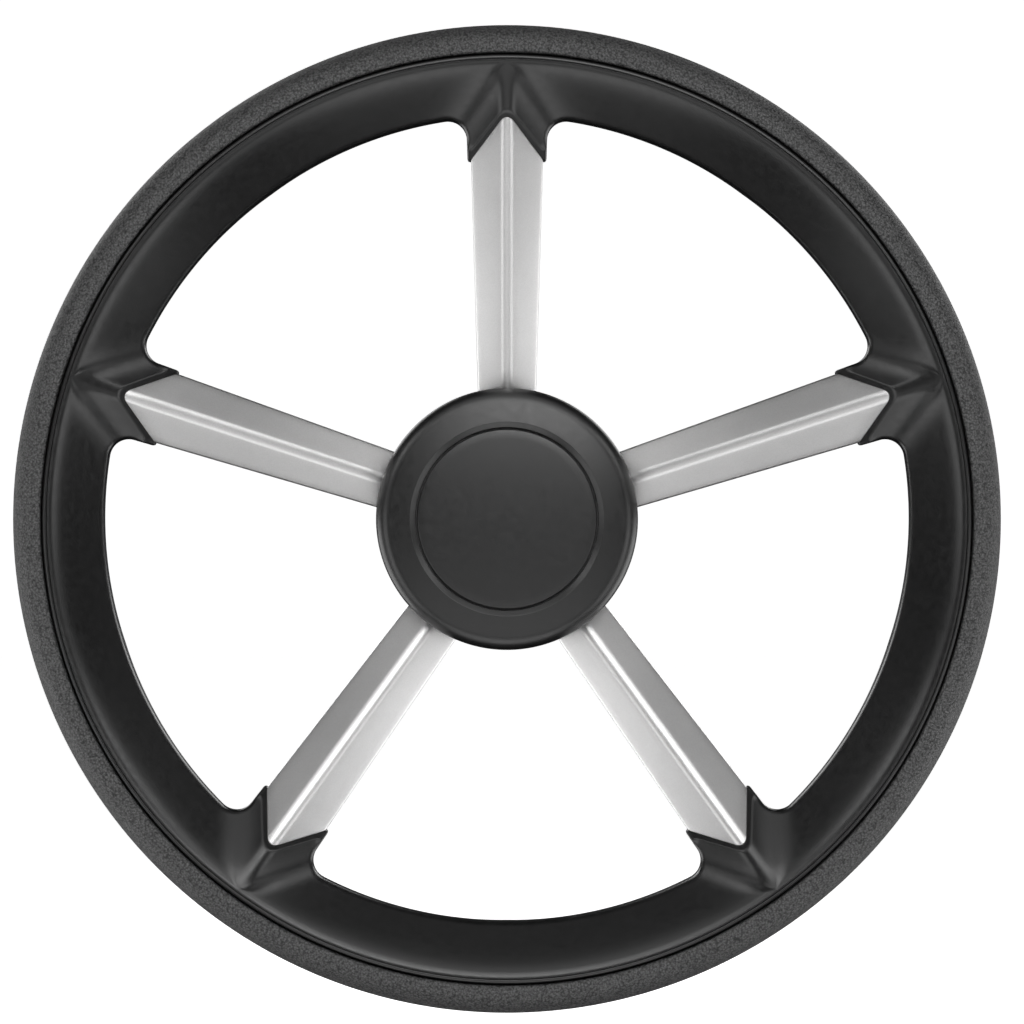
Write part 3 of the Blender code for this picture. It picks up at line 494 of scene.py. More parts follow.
def shellFront(u, v):
    r = np.hypot(u, v)
    ring = ringFront(r)
    root = rimFront + rootLift - rootRise * (crestRadius - u) + roofDrop(v, -spoke["lip"]) - spoke["lip"]
    top = rimFront - flared(rimFront - ring, rimFront - root)
    # at a root's tips the flank would run past the joint, so it levels out above it
    floor = jointZ + rim["edgeRound"] + clearance
    return -smoothMin(-top, -floor, rim["floorBlend"])


def shellBack(u, v):
    r = np.hypot(u, v)
    ring = ringBack(r)
    corner = spoke["backCorner"]
    reach = np.clip(np.abs(v) - (rootHalf(u) - corner), 0.0, corner)
    lift = corner - np.sqrt(corner ** 2 - reach ** 2)
    root = crestAtAxis + u * math.tan(dish) - (spoke["depth"] - lift) / math.cos(dish)
    return rimBack + flared(ring - rimBack, root - rimBack)


spokeTaper = (spoke["widthRim"] - spoke["widthHub"]) / 2 / (rimInner - spoke["hubRadius"])
spokeStretch = math.hypot(1.0, spokeTaper)


def windowCorner():
    # centre of the round between the rim's inner edge and a root's side, and the angles it runs between
    fillet = rim["windowFillet"]
    offset = rootHalf(0.0) + fillet * spokeStretch
    reach = rimInner - fillet
    u = (math.sqrt(spokeStretch ** 2 * reach ** 2 - offset ** 2) - spokeTaper * offset) / spokeStretch ** 2
    v = offset + spokeTaper * u
    return u, v, math.atan2(v, u), math.atan2(-1.0, spokeTaper)


cornerU, cornerV, cornerStart, cornerEnd = windowCorner()


def edgeDistance(u, v):
    # distance in plan from the shells' inner edge: window, corner, root side and root tip
    v = np.abs(v)
    away = np.hypot(u - cornerU, v - cornerV) - rim["windowFillet"]
    around = np.arctan2(v - cornerV, u - cornerU)
    inRoot = np.where(around > cornerEnd, away, (rootHalf(u) - v) / spokeStretch)
    tip = (u - rootTip) * rim["edgeRound"] / rim["tipRound"]
    inRoot = np.minimum(inRoot, np.where(v < cornerV, tip, 1.0))
    return np.where(np.arctan2(v, u) >= cornerStart, np.hypot(u, v) - rimInner, inRoot)


def edgeEase(u, v):
    ease = rim["edgeRound"]
    near = np.clip(edgeDistance(u, v), 0.0, ease)
    return ease - np.sqrt(np.maximum(ease ** 2 - (ease - near) ** 2, 0.0))


def rimColumns(windowSteps=36, filletSteps=12, sideSteps=7):
    # ends of the shells' columns from mid-window to the middle of a root: u, v and the angle at the crest
    fillet, corner = rim["windowFillet"], rim["tipCorner"]
    side = math.asin(rootHalf(cornerU) / crestRadius)
    flank = side * spoke["rootFan"]
    columns = []
    for angle in np.linspace(math.pi / spokeCount, cornerStart, windowSteps + 1):
        columns.append((rimInner * math.cos(angle), rimInner * math.sin(angle), angle))
    for t in np.linspace(0, 1, filletSteps + 1)[1:]:
        angle = cornerStart + (cornerEnd - cornerStart) * t
        columns.append((cornerU + fillet * math.cos(angle), cornerV + fillet * math.sin(angle),
                        cornerStart + (side - cornerStart) * t))
    tipU = rootTip + corner
    sideU = columns[-1][0]
    for t in np.linspace(0, 1, sideSteps + 1)[1:]:
        u = sideU + (tipU - sideU) * t
        columns.append((u, rootHalf(u), side + (flank - side) * t))
    tipV = rootHalf(rootTip)
    for a in np.radians((30.0, 60.0, 90.0)):
        v = tipV - corner * (1 - math.cos(a))
        columns.append((tipU - corner * math.sin(a), v, flank * v / tipV))
    onFlank = (0.88, 0.80, 0.71, 0.62, 0.53, 0.45, 0.37, 0.30)
    onRidge = (0.25, 0.21, 0.175, 0.14, 0.105, 0.07, 0.035, 0.0)
    for share in onFlank + onRidge:
        columns.append((rootTip, tipV * share, flank * share))
    return columns


# how finely a column down the rim's slope is divided, and how far from its edges the close stations reach
slopeSteps = {"slope": 24, "gather": 1.25, "search": 400, "vReach": 0.0016, "edgeReach": 0.0011, "least": 0.2,
              "aroundV": (-0.7, -0.45, -0.25, -0.1, 0.05, 0.2, 0.4, 0.6),
              "atEdge": (0.0, 0.2, 0.4, 0.6, 0.75, 0.87, 0.95, 1.0)}


def slopeShares(start, run, length, height, cut):
    # stations down a column: even on the slope, close together at the V's edge and at the inner edge
    cutAt = 1.0 - slopeSteps["edgeReach"] / length
    if cut:
        share = np.linspace(0, 1, slopeSteps["search"])
        u, v = (start + run * share[:, None]).T
        over = height(u, v) > vPlane(u)
        if over.any():
            cutAt = min(float(share[np.argmax(over)]), cutAt)
    near = slopeSteps["vReach"] / length
    toEdge = 1 - (1 - np.linspace(0, 1, slopeSteps["slope"] + 1)[1:]) ** slopeSteps["gather"]
    last = max(cutAt + 0.7 * near, 1 - rim["edgeRound"] / length)
    shares = list(toEdge * max(cutAt - near, slopeSteps["least"]))
    shares += [min(cutAt + near * t, last) for t in slopeSteps["aroundV"]]
    shares += [last + (1 - last) * t for t in slopeSteps["atEdge"]]
    shares = np.maximum.accumulate(np.array(shares) + np.arange(len(shares)) * 1e-5 / length)
    return np.minimum(shares, 1.0)


def shareAtRadius(start, run, radius):
    a, b, c = run @ run, start @ run, start @ start - radius ** 2
    return (-b - math.sqrt(b * b - a * c)) / a


def rimShellMesh(name, outerWall, crestRadii, height, joint, sign, channel=(), plainBend=0.96):
    # one section per column round the wheel: outer wall, crest, slope, inner edge, and the joint's face.
    # The joint dips under the V at each root's tip.
    half = rimColumns()
    sector = half[:-1] + [(u, -v, -a) for u, v, a in reversed(half)][:-1]
    bendU = (jointZ + spoke["jointDip"] - vPlane(0.0)) / math.tan(dish + vLean)
    rows = []
    for u, v, angle in reversed(sector):
        ray = np.array((math.cos(angle), math.sin(angle)))
        start = ray * crestRadii[-1]
        run = np.array((u, v)) - start
        inRoot = abs(v) < rootHalf(u) + 1e-6
        shares = slopeShares(start, run, np.linalg.norm(run), height, inRoot and sign > 0)
        x, y = (start + run * shares[:, None]).T
        tops = height(x, y)
        if inRoot and sign > 0:
            tops = smoothMin(tops, vPlane(x), spoke["vRound"])
        tops = tops - sign * edgeEase(x, y)
        points = [(*(ray * r), z) for r, z in outerWall]
        points += [(*(ray * r), float(height(*(ray * r)))) for r in crestRadii]
        points += list(zip(x, y, tops))
        dips = inRoot and u <= bendU - clearance
        bend = start + run * ((bendU - start[0]) / run[0] if dips else plainBend)
        dip = max(jointZ + spoke["jointDip"] - vPlane(u), 0.0) if inRoot else 0.0
        points.append((u, v, joint - dip))
        points.append((*bend, joint))
        for r, z in channel:
            points.append((*(start + run * shareAtRadius(start, run, r)), z))
        rows.append(np.array(points, float))
    turnedRows = []
    for angle in spokeAngles:
        c, s = math.cos(angle), math.sin(angle)
        for points in rows:
            turnedRows.append(np.column_stack((points[:, 0] * c - points[:, 1] * s,
                                               points[:, 0] * s + points[:, 1] * c, points[:, 2])))
    return gridMesh(name, turnedRows)


def armSlot(floor):
    # room for one of the armature's arms, in a spoke's frame
    def section(u):
        share = (u - spoke["hubRadius"]) / (rimInner - spoke["hubRadius"])
        half = (core["armHub"] + (core["armRim"] - core["armHub"]) * share) / 2 + clearance
        top, bottom = -core["armTop"] + clearance, -floor - clearance
        return [(along(u), y, z) for y, z in ((half, top), (half, bottom), (-half, bottom), (-half, top))]
    return gridMesh("slot", [section(rootTip - spoke["rootLength"]), section(core["radius"] + clearance)],
                    capEnds=True)


def rimFrontMesh():
    joint = jointZ + clearance / 2
    shell = rim["shellRadius"]
    top = rimFront - rim["beadDrop"]
    ease = rim["beadRound"]
    crease = crestRadius + 0.5 * rim["creaseWidth"]
    rebate, step = shell - rim["rebate"], joint + rim["rebateHeight"]
    wall = [(rebate, joint), (rebate, step), (shell, step), (shell, top - rim["beadWall"])]
    wall += arcPoints((shell - ease, top - ease), ease, 0, 90, 9)
    wall += [(crease + 0.5 * rim["creaseWidth"], top - 0.00003),
             (crease + 0.25 * rim["creaseWidth"], top - 0.7 * rim["creaseDepth"]),
             (crease, top - rim["creaseDepth"]),
             (crease - 0.25 * rim["creaseWidth"], top - 0.6 * rim["creaseDepth"])]
    crest = crestRadius - rim["crestRound"] * np.sin(np.radians(np.linspace(0, rim["bandSlope"], 10)))
    inner = core["radius"] - core["width"] / 2 - clearance
    outer = core["radius"] + core["width"] / 2 + core["room"]
    roof = jointZ + core["depth"] + 2 * clearance
    channel = [(inner, joint), (inner, roof), (outer, roof), (outer, joint)]
    shape = rimShellMesh("rimFront", wall, list(crest), shellFront, joint, 1, channel)
    return cutWith(shape, [(armSlot(rim["depth"]), spokePlace(k)) for k in range(spokeCount)])


def rimRearMesh():
    joint = jointZ - clearance / 2
    shell = rim["shellRadius"]
    ease = rim["backEdge"]
    wall = [(shell, joint), (shell, rimBack + rim["backWall"])]
    wall += arcPoints((shell - ease, rimBack + ease), ease, 0, -80, 4)
    crest = list(np.linspace(shell - rim["backFlat"], rim["backCrest"], 3))
    crest += list(rim["backCrest"] - np.linspace(0.0004, 0.004, 7))
    shape = rimShellMesh("rimRear", wall, crest, shellBack, joint, -1)
    return cutWith(shape, [(armSlot(core["armBottom"]), spokePlace(k)) for k in range(spokeCount)])


finishPiece("rimFront", rimFrontMesh(), moulding, "wheel", ["rim_front_shell"], 50)
finishPiece("rimRear", rimRearMesh(), moulding, "wheel", ["rim_rear_shell"], 50)
print("rim shells made")


grip = {"width": 0.0110, "crownInset": 0.0088, "sink": 0.0008, "ribDepth": 0.0017, "ribHeight": 0.0027,
        "lipRound": 0.0013, "steps": 288, "ovalSteps": 44}


def gripMesh():
    # an oval band with a rib on its inner side; the section's x is measured from the crown's circle
    crown = rimRadius - grip["crownInset"]
    middle = (rimFront + rimBack) / 2
    halfDepth = rim["depth"] / 2 - grip["sink"]
    inner = rimRadius - grip["width"] - crown
    lean = math.degrees(math.acos(inner / grip["crownInset"]))
    oval = [(r * grip["crownInset"], middle + z * halfDepth)
            for r, z in arcPoints((0, 0), 1.0, lean, -lean, grip["ovalSteps"])]
    firstLip = roundedCorner((inner, middle), oval[0], oval[3], grip["lipRound"], 5)
    lastLip = roundedCorner(oval[-4], oval[-1], (inner, middle), grip["lipRound"], 5)
    low = jointZ + clearance
    high = low + grip["ribHeight"]
    rib = inner - grip["ribDepth"]
    section = firstLip + oval[3:-3] + lastLip + [(inner, low), (rib, low), (rib, high), (inner, high)]
    mesh = bpy.data.meshes.new("gripSection")
    edges = [(i, (i + 1) % len(section)) for i in range(len(section))]
    mesh.from_pydata([(x, -z, 0.0) for x, z in section], edges, [])
    return faceOut(grownMesh("gripBand", mesh, bandTree,
                             {"Path radius": crown, "Steps": grip["steps"], "Finish": gripSkin}))


finishPiece("gripBand", gripMesh(), gripSkin, "wheel", ["grip_ring"], 50)
print("grip band made")


# Spokes: the silver ridged cover, its black back and the screw that holds both

def coverSections():
    # across the cover: the outer skin from one skirt over the crest to the other, then the inner skin back
    ease = spoke["edgeRound"]
    crestSteps = np.linspace(1, -1, 19)
    inset = ease * (1 - math.sin(roofTilt))
    arc = np.radians(np.linspace(0, 90 - spoke["roofSlope"], 7))
    fromEdge = ease - ease * np.cos(arc)
    down = ease * np.sin(arc)

    def outer(half):
        edge = half - inset
        shoulder = float(roofDrop(edge)) - ease * math.cos(roofTilt)
        side = [(half, float(roofDrop(half)) - spoke["skirt"])]
        side += [(half - e, shoulder + d) for e, d in zip(fromEdge, down)]
        side += [(y, float(roofDrop(y))) for y in np.linspace(edge, spoke["crestHalf"], 6)[1:-1]]
        crest = [(y, float(roofDrop(y))) for y in roofRound * np.sin(roofTilt * crestSteps)]
        return side + crest + [(-y, z) for y, z in reversed(side)]

    def inner(half):
        wall = spoke["wall"]
        edge = half - wall
        ys = [edge] + list((roofRound - wall) * np.sin(roofTilt * np.linspace(1, -1, 9))) + [-edge]
        bottom = float(roofDrop(half)) - spoke["skirt"]
        points = [(y, float(roofDrop(y, wall))) for y in ys]
        return [(-edge, bottom)] + points[::-1] + [(edge, bottom)]

    return outer, inner


def coverMesh():
    outer, inner = coverSections()
    start = along(spoke["hubRadius"] - spoke["tuck"])
    apex = along(rimInner - spoke["vApexInset"])
    gap = spoke["vGap"] / math.cos(vLean)
    ease = spoke["vEdge"]

    def endAt(z):
        return apex + (z - gap) / math.tan(vLean)

    # stations along the cover, and the last of them round its edge at the V
    plain = np.linspace(0, 1, 15)[:-1]
    turn = np.radians((0, 20, 40, 60, 78, 90))
    shares = np.concatenate((plain, np.ones(len(turn))))
    backOff = np.concatenate((np.full(len(plain), ease), ease * (1 - np.sin(turn))))
    fall = np.concatenate((np.zeros(len(plain)), ease * (1 - np.cos(turn))))
    count = len(outer(float(spokeHalf(rimInner))))
    rows = []
    for share, off, drop in zip(shares, backOff, fall):
        loop = []
        for skin, sign in ((outer, 1), (inner, 0)):
            base = skin(float(spokeHalf(rimInner)))
            for i, (_, z) in enumerate(base):
                x = start + (endAt(z) - off - start) * share
                for _ in range(2):
                    y, z = skin(float(spokeHalf(radiusAt(x))))[i]
                    x = start + (endAt(z) - off - start) * share
                lower = drop if sign and 0 < i < count - 1 else 0.0
                loop.append((x, y, z - lower))
        rows.append(loop)
    return gridMesh("coverBody", rows, capEnds=True)


spokeScrew = {"head": 0.0032, "height": 0.0020, "shank": 0.0015, "length": 0.0107, "recess": 0.0021,
              "seat": 0.0018, "bossWall": 0.0019, "postWall": 0.0012, "sinkLip": 0.0004}
screwSeat = -core["armBottom"] - clearance - spokeScrew["seat"]
screwSpot = Matrix.Translation((along(rimInner - spoke["screwInset"]), 0, 0))
onSpoke = Matrix.Translation((0, 0, crestAtAxis)) @ Matrix.Rotation(-dish, 4, "Y")


def pin(radius, low, high):
    return turned("pin", [(0, high), (radius, high), (radius, low), (0, low)], 40)


def finishedCover():
    # inside it, a post for the screw
    pilot = spokeScrew["shank"] + clearance
    post = pin(pilot + spokeScrew["postWall"], -core["armTop"] + clearance, -spoke["wall"] + clearance)
    body = cutWith(coverMesh(), [(post, screwSpot)], "UNION")
    return cutWith(body, [(pin(pilot, -core["armBottom"], -spoke["wall"] - clearance), screwSpot)])


def backMesh():
    # the black trough behind the cover, with a sunk hole for its screw
    corner, wall = spoke["backCorner"], spoke["backWall"]
    start = along(spoke["hubRadius"] - spoke["tuck"])
    end = along(rootTip, -spoke["depth"]) - clearance

    def section(x):
        half = float(spokeHalf(radiusAt(x))) - spoke["wall"] - clearance
        top = float(roofDrop(half, spoke["wall"])) - 2 * clearance
        floor = -spoke["depth"] + corner
        outer = [(half, top)] + arcPoints((half - corner, floor), corner, 0, -90, 8)
        inner = [(half - wall, top)] + arcPoints((half - corner, floor), corner - wall, 0, -90, 8)
        outer += [(-y, z) for y, z in reversed(outer)]
        inner += [(-y, z) for y, z in reversed(inner)]
        return [(x, y, z) for y, z in outer + inner[::-1]]

    body = gridMesh("backBody", [section(x) for x in np.linspace(start, end, 12)], capEnds=True)
    head, bottom, arm = spokeScrew["head"] + clearance, -spoke["depth"], -core["armBottom"] - clearance
    boss = pin(head + spokeScrew["bossWall"], bottom + wall / 2, arm)
    shank = spokeScrew["shank"] + clearance
    lip, past = spokeScrew["sinkLip"], bottom - spokeScrew["height"]
    edge = bottom + clearance
    sink = turned("sink", [(0, 0), (shank, 0), (shank, screwSeat), (head, screwSeat), (head, edge),
                           (head + lip, edge - lip), (head + lip, past), (0, past)], 40)
    return cutWith(cutWith(body, [(boss, screwSpot)], "UNION"), [(sink, screwSpot)])


def crossRecess(size, turn):
    # one wing of the driver's recess in a screw head
    work = bmesh.new()
    for vert in bmesh.ops.create_cube(work, size=1.0)["verts"]:
        top = vert.co.z > 0
        vert.co.x *= 2 * size["recess"] * (1.0 if top else 0.45)
        vert.co.y *= 0.28 * size["head"]
        vert.co.z = size["height"] * (1.1 if top else 0.25)
    mesh = bpy.data.meshes.new("recess")
    work.to_mesh(mesh)
    work.free()
    return mesh, Matrix.Rotation(turn, 4, "Z")


def screwMesh(size):
    # a domed head with a cross recess, its seat at z = 0, shank below
    head, height = size["head"], size["height"]
    outline = [(0, height)] + [(head * s, height * (0.62 + 0.38 * math.sqrt(max(1 - s ** 2.2, 0))))
                               for s in (0.25, 0.5, 0.7, 0.85, 0.94, 1.0)]
    outline += [(head, 0.0), (size["shank"], 0.0), (size["shank"], -size["length"]), (0, -size["length"])]
    return cutWith(turned("screw", outline, 40), [crossRecess(size, 0.0), crossRecess(size, math.pi / 2)])


coverBody, backBody = finishedCover(), backMesh()
coverBody.transform(onSpoke)
backBody.transform(onSpoke)
for k in range(spokeCount):
    place = {"Copies": 1, "Start angle": spokeAngles[k]}
    shape = grownMesh("cover", coverBody.copy(), axisTree, {**place, "Finish": silver})
    finishPiece(f"spokeCover{k + 1}", shape, silver, "wheel", [f"spoke_cover_{k + 1}"], 40)
    shape = grownMesh("back", backBody.copy(), axisTree, {**place, "Finish": moulding})
    finishPiece(f"spokeBack{k + 1}", shape, moulding, "wheel", [f"spoke_back_{k + 1}"], 35)

screwBody = screwMesh(spokeScrew)
screwBody.transform(onSpoke @ screwSpot @ Matrix.Translation((0, 0, screwSeat - clearance / 2))
                    @ Matrix.Rotation(math.pi, 4, "X"))
screws = grownMesh("spokeScrews", screwBody, axisTree,
                   {"Copies": spokeCount, "Start angle": math.pi / 2, "Finish": steel})
finishPiece("spokeScrews", screws, steel, "wheel", numbered("spoke_screw"), 35)
print("spokes made")


# Hub

hub = {
    "radius": 0.047, "stand": 0.0108, "splitDrop": 0.0060, "wall": 0.0025, "round": 0.0060, "faceTilt": 9.5,
    "bevel": 0.0018, "bevelEdge": 0.00025, "wellWall": 0.0016, "flange": 0.0027, "flangeBore": 0.0195,
    "rearLift": 0.0020, "rearRadius": 0.0305, "rearFloor": 0.0030, "shoulder": 0.0262, "waist": 0.0238,
    "drumRadius": 0.030, "drumDrop": 0.0040, "drumRear": 0.018, "notchGap": 0.0004, "screwCircle": 0.0242,
    "innerRound": 0.0035, "footRound": 0.0010, "edgeBreak": 0.0004, "steps": 192,
}
cap = {
    "radius": 0.0321, "margin": 0.0008, "sink": 0.0012, "crown": 0.0010, "thickness": 0.0022, "edge": 0.0006,
    "ledge": 0.0007, "skirt": 0.0052, "skirtWall": 0.0022, "skirtSlack": 0.0005, "skirtBreak": 0.0005,
    "ringDrop": 0.0036, "ring": 0.0014,
}

hubFront = spoke["crestHub"] + hub["stand"]
hubSplit = spoke["crestHub"] - hub["splitDrop"]
drumFront = spoke["crestHub"] - hub["drumDrop"]
flangeFront = drumFront + clearance + hub["flange"]
capEdgeZ = hubFront - cap["sink"]
capBack = capEdgeZ - cap["thickness"]
wellRadius = cap["radius"] - cap["ledge"]
recessRadius = cap["radius"] + cap["margin"]


def spokeNotch():
    # the spoke's outside, a little larger, for notching the hub covers
    grow = hub["notchGap"]

    def section(u):
        half = float(spokeHalf(u)) + grow
        floor = -spoke["depth"] - grow
        ys = [half] + list((roofRound + grow) * np.sin(roofTilt * np.linspace(1, -1, 13))) + [-half]
        outline = [(half, floor)] + [(y, float(roofDrop(y, -grow))) for y in ys] + [(-half, floor)]
        return [(along(u), y, z) for y, z in outline]

    ends = [section(hub["drumRadius"]), section(hub["radius"] + spoke["tuck"])]
    return gridMesh("notch", ends, capEnds=True)


def bezelMesh():
    tilt = math.radians(hub["faceTilt"])
    bevelTop = recessRadius + hub["bevel"]
    roundR = hub["radius"] - hub["round"]
    fall = math.tan(tilt) * (roundR + hub["round"] * math.sin(tilt) - bevelTop)
    roundZ = hubFront - fall - hub["round"] * math.cos(tilt)
    wellOuter = recessRadius + hub["wellWall"]
    inner = hub["radius"] - hub["wall"]
    under = hubFront - hub["wall"] - fall
    face = [(bevelTop, hubFront)]
    edge = arcPoints((roundR, roundZ), hub["round"], 90 - hub["faceTilt"], 0, 20)
    # a fine line where the face meets the bevel, then the bevel down to the cap's recess
    lip = roundedCorner((recessRadius, capEdgeZ), face[0], edge[0], hub["bevelEdge"], 4)
    outline = lip + edge + [(hub["radius"], hubSplit), (inner, hubSplit)]
    corner, ease = hub["innerRound"], hub["edgeBreak"]
    outline += arcPoints((inner - corner, under - corner), corner, 0, 90, 6)
    bore, flangeBack = hub["flangeBore"], drumFront + clearance
    outline += [(wellOuter, under), (wellOuter, flangeBack), (bore, flangeBack), (bore, flangeFront - ease),
                (bore + ease, flangeFront), (wellRadius, flangeFront), (wellRadius, capBack - clearance),
                (recessRadius, capBack - clearance), (recessRadius, capEdgeZ)]
    return turned("bezel", outline, hub["steps"])


def rearCoverMesh():
    top, end = hubSplit - clearance, hub["rearLift"]
    inner = hub["radius"] - hub["wall"]
    bossTop = hub["drumRear"] - clearance
    foot, ease = hub["footRound"], hub["edgeBreak"]
    bell = curvePoints((hub["radius"], top), (hub["radius"], hub["shoulder"]),
                       (hub["rearRadius"], hub["waist"]), (hub["rearRadius"], end + foot), 32)
    lift = 2 * hub["wall"]
    inside = curvePoints((hub["rearRadius"], bossTop), (hub["rearRadius"] + hub["wall"], hub["waist"] + lift),
                         (inner, hub["shoulder"] + lift), (inner, top), 16)
    hole, flange = insert["radius"] + clearance, insert["flangeRadius"] + clearance
    floor = end + hub["rearFloor"]
    outline = bell[:-1] + arcPoints((hub["rearRadius"] - foot, end + foot), foot, 0, -90, 4)
    outline += [(hole + ease, end), (hole, end + ease), (hole, floor), (flange, floor), (flange, bossTop)]
    outline += inside
    return turned("rearCover", outline, hub["steps"])


def capMesh():
    skirt = wellRadius - clearance - cap["skirtSlack"]
    ease = cap["skirtBreak"]
    groove = wellRadius - cap["ring"] - 2 * clearance
    low = capBack - cap["ringDrop"]
    high = low + cap["ring"] + 2 * clearance
    bottom = capBack - cap["skirt"]
    inner = groove - cap["skirtWall"]
    crownRadius = (cap["radius"] ** 2 + cap["crown"] ** 2) / (2 * cap["crown"])
    top = []
    for share in np.linspace(0, 1, 13):
        r = (cap["radius"] - cap["edge"]) * share
        top.append((r, capEdgeZ + cap["crown"] - crownRadius + math.sqrt(crownRadius ** 2 - r ** 2)))
    edge = arcPoints((cap["radius"] - cap["edge"], top[-1][1] - cap["edge"]), cap["edge"], 84, 0, 6)
    outline = top[:-1] + edge + [(cap["radius"], capBack), (skirt, capBack), (skirt, high), (groove, high),
                                 (groove, low), (skirt, low), (skirt, bottom + ease), (skirt - ease, bottom),
                                 (inner, bottom), (inner, capBack), (0, capBack)]
    return turned("cap", outline, hub["steps"])


def ringMesh():
    radius = cap["ring"] / 2
    low = capBack - cap["ringDrop"] + clearance
    section = arcPoints((wellRadius - clearance - radius, low + radius), radius, 0, -337.5, 15)
    return turned("capRing", section, 128)


insert = {
    "bore": 0.01905, "taper": 12.0, "length": 0.038, "radius": 0.0150, "flangeRadius": 0.0205, "flange": 0.0055,
    "keyWidth": 0.00476, "keyDepth": 0.0024, "chamfer": 0.0006, "washer": 0.0130, "washerThickness": 0.0025,
    "washerBreak": 0.0004, "thread": 0.0127, "threadBreak": 0.0008, "nut": 0.01905, "nutHeight": 0.0110,
}


def insertMesh():
    bore = insert["bore"] / 2
    front = bore - insert["length"] / insert["taper"] / 2
    top = hub["drumRear"] - clearance
    low = top - insert["flange"]
    ease, length = insert["chamfer"], insert["length"]
    radius, flange = insert["radius"], insert["flangeRadius"]
    outline = [(front, length), (radius - ease, length), (radius, length - ease), (radius, top), (flange, top),
               (flange, low), (radius, low), (radius, ease), (radius - ease, 0.0), (bore + ease, 0.0),
               (bore, ease)]
    depth = bore + insert["keyDepth"]
    work = bmesh.new()
    made = bmesh.ops.create_cube(work, size=1.0)["verts"]
    bmesh.ops.scale(work, verts=made, vec=(insert["keyWidth"], depth, 2 * length))
    key = bpy.data.meshes.new("keyway")
    work.to_mesh(key)
    work.free()
    return cutWith(turned("insert", outline, 96), [(key, Matrix.Translation((0, depth / 2, length / 2)))])


def washerMesh():
    low = insert["length"] + clearance
    high = low + insert["washerThickness"]
    hole, edge, ease = insert["thread"] / 2 + clearance, insert["washer"], insert["washerBreak"]
    outline = [(hole, high), (edge - ease, high), (edge, high - ease), (edge, low), (hole, low)]
    return turned("washer", outline, 96)


def nutMesh():
    # a hexagon whose corners are turned off at both ends
    low = insert["length"] + insert["washerThickness"] + 2 * clearance
    high = low + insert["nutHeight"]
    flat = insert["nut"] / 2
    corner = flat / math.cos(math.pi / 6)
    hexagon = turned("hexagon", [(0, high), (corner, high), (corner, low), (0, low)], 6)
    # the lathe's cone runs a little past the corners
    past = corner + 0.0005
    drop = 1.3 * (corner - flat) * math.tan(math.radians(30))
    bore, ease = insert["thread"] / 2, insert["threadBreak"]
    lathe = turned("lathe", [(bore + ease, high), (flat, high), (past, high - drop), (past, low + drop),
                             (flat, low), (bore + ease, low), (bore, low + ease), (bore, high - ease)], 96)
    return cutWith(lathe, [(hexagon, Matrix.Identity(4))], "INTERSECT")


hubScrew = {"head": 0.0036, "height": 0.0024, "shank": 0.0020, "length": 0.04545, "recess": 0.0024}


def hubCuts():
    # a notch for each spoke and a hole for each screw
    cuts = []
    for k in range(spokeCount):
        cuts.append((spokeNotch(), spokePlace(k)))
        bottom = flangeFront - hubScrew["length"] - clearance
        hole = pin(hubScrew["shank"] + clearance, bottom, flangeFront + clearance)
        turn = Matrix.Rotation(spokeAngles[k] + math.pi / spokeCount, 4, "Z")
        cuts.append((hole, turn @ Matrix.Translation((hub["screwCircle"], 0, 0))))
    return cuts


bezelBody = cutWith(bezelMesh(), hubCuts())
finishPiece("hubBezel", bezelBody, hubPlastic, "wheel", ["hub_bezel"], 30)
rearBody = cutWith(rearCoverMesh(), hubCuts())
finishPiece("hubRearCover", rearBody, hubPlastic, "wheel", ["hub_rear_cover"], 30)
screwBody = screwMesh(hubScrew)
screwBody.transform(Matrix.Translation((hub["screwCircle"], 0, flangeFront + clearance / 2)))
screws = grownMesh("hubScrews", screwBody, axisTree,
                   {"Copies": spokeCount, "Start angle": math.pi / 2 + math.pi / spokeCount, "Finish": steel})
finishPiece("hubScrews", screws, steel, "wheel", numbered("hub_screw"), 35)
finishPiece("hubInsert", insertMesh(), steel, "wheel", ["hub_insert"], 30)
finishPiece("nutWasher", washerMesh(), steel, "wheel", ["nut_washer"], 30)
finishPiece("shaftNut", nutMesh(), steel, "wheel", ["shaft_nut"], 30)
finishPiece("centreCap", capMesh(), hubPlastic, "cap", ["centre_cap"], 35)
finishPiece("capRubberRing", ringMesh(), rubber, "cap", ["cap_rubber_ring"], 60)

# the armature keeps its own mesh and gets a cast finish
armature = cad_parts["armature"]
for slot in armature.material_slots:
    slot.material = castAlloy
print("hub made")


# Camera, straight in front of the wheel and on its axis. The wheel's centre and radius are in the photo's
# pixels, and silhouette is the height of the rim's widest circle.

view = {"distance": 1.5, "silhouette": 0.075,
        "pixels": 1024, "centreX": 506.98, "centreY": 518.97, "radius": 493.53}


def makeCamera():
    data = bpy.data.cameras.new("frontCamera")
    camera = bpy.data.objects.new("frontCamera", data)
    bpy.context.scene.collection.objects.link(camera)
    camera.location = (0.0, -(rimFront + view["distance"]), 0.0)
    camera.rotation_euler = (math.pi / 2, 0.0, 0.0)
    focal = view["radius"] * (view["distance"] + rimFront - view["silhouette"]) / rimRadius
    data.sensor_width = 36.0
    data.lens = focal * data.sensor_width / view["pixels"]
    data.shift_x = (view["pixels"] / 2 - view["centreX"]) / view["pixels"]
    data.shift_y = (view["centreY"] - view["pixels"] / 2) / view["pixels"]
    data.clip_end = 50.0
    bpy.context.scene.camera = camera


makeCamera()


# Studio: a pale floor and backdrop, and a few softboxes round the wheel

studio = {"floorZ": -0.30, "spread": 8.0, "dome": 7.84, "paper": 1.0, "ambient": 0.0,
          "reach": 1.9, "aim": (0.0, -0.06, 0.0)}

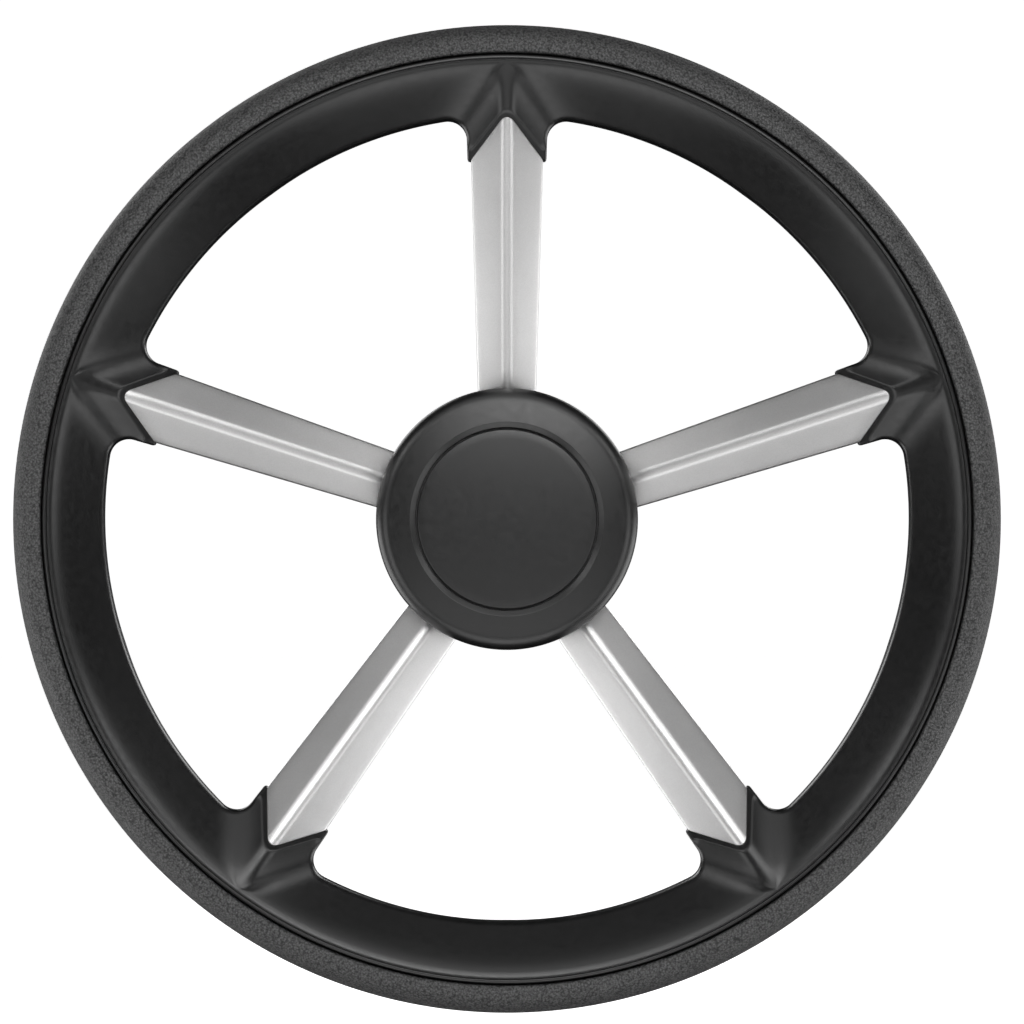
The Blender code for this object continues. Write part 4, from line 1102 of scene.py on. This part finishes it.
# angles are in degrees, azimuth from the camera with right positive; a paired box stands on both sides
softboxes = {
    "key": {"azimuth": 4, "elevation": 40, "width": 2.0, "height": 0.7, "watts": 8.5, "paired": False},
    "brow": {"azimuth": 5, "elevation": 20, "width": 0.9, "height": 0.6, "watts": 6.0, "paired": False},
    "front": {"azimuth": 0, "elevation": -20, "width": 1.5, "height": 0.8, "watts": 3.0, "paired": False},
    "top": {"azimuth": 0, "elevation": 65, "width": 2.2, "height": 0.7, "watts": 3.2, "paired": False},
    "ground": {"azimuth": 0, "elevation": -60, "width": 1.8, "height": 1.2, "watts": 8.5, "paired": False},
    "side": {"azimuth": 54, "elevation": -18, "width": 0.9, "height": 1.6, "watts": 6.0, "paired": True},
    "flank": {"azimuth": 110, "elevation": -21, "width": 1.5, "height": 1.4, "watts": 13.0, "paired": True},
    "shoulder": {"azimuth": 56, "elevation": 29, "width": 0.7, "height": 0.7, "watts": 3.0, "paired": True},
    "behind": {"azimuth": 150, "elevation": 20, "width": 1.0, "height": 1.0, "watts": 7.0, "paired": True},
}


def paperWhite():
    look = Nodes("paperWhite")
    white = (1, 1, 1, 1)
    look.set(Base_Color=white, Roughness=1.0, Emission_Color=white, Emission_Strength=studio["paper"])
    return look.material


def makeStage():
    white = paperWhite()
    work = bmesh.new()
    bmesh.ops.create_grid(work, x_segments=1, y_segments=1, size=studio["spread"])
    floor = bpy.data.meshes.new("floor")
    work.to_mesh(floor)
    work.free()
    work = bmesh.new()
    bmesh.ops.create_uvsphere(work, u_segments=48, v_segments=24, radius=studio["dome"])
    bmesh.ops.reverse_faces(work, faces=work.faces)
    dome = bpy.data.meshes.new("backdrop")
    work.to_mesh(dome)
    work.free()
    for name, mesh, height in (("floor", floor, studio["floorZ"]), ("backdrop", dome, 0.0)):
        mesh.materials.append(white)
        item = newObject(name, mesh)
        item.location.z = height
        item.visible_diffuse = item.visible_glossy = item.visible_transmission = item.visible_shadow = False


def makeSoftbox(name, box, azimuth):
    data = bpy.data.lights.new(name, "AREA")
    data.shape = "RECTANGLE"
    data.size, data.size_y = box["width"], box["height"]
    data.energy = box["watts"]
    lamp = bpy.data.objects.new(name, data)
    bpy.context.scene.collection.objects.link(lamp)
    a, e = math.radians(azimuth), math.radians(box["elevation"])
    away = Vector((math.sin(a) * math.cos(e), -math.cos(a) * math.cos(e), math.sin(e)))
    lamp.location = Vector(studio["aim"]) + studio["reach"] * away
    lamp.rotation_euler = (-away).to_track_quat("-Z", "Y").to_euler()
    lamp.visible_camera = False


def makeWorld():
    world = bpy.data.worlds.new("studioAir")
    world.use_nodes = True
    sky = world.node_tree.nodes["Background"]
    sky.inputs["Color"].default_value = (1, 1, 1, 1)
    sky.inputs["Strength"].default_value = studio["ambient"]
    bpy.context.scene.world = world


makeStage()
for name, box in softboxes.items():
    makeSoftbox(name, box, box["azimuth"])
    if box["paired"]:
        makeSoftbox(name + "Left", box, -box["azimuth"])
makeWorld()
bpy.context.scene.view_settings.view_transform = "Standard"
print("studio ready")
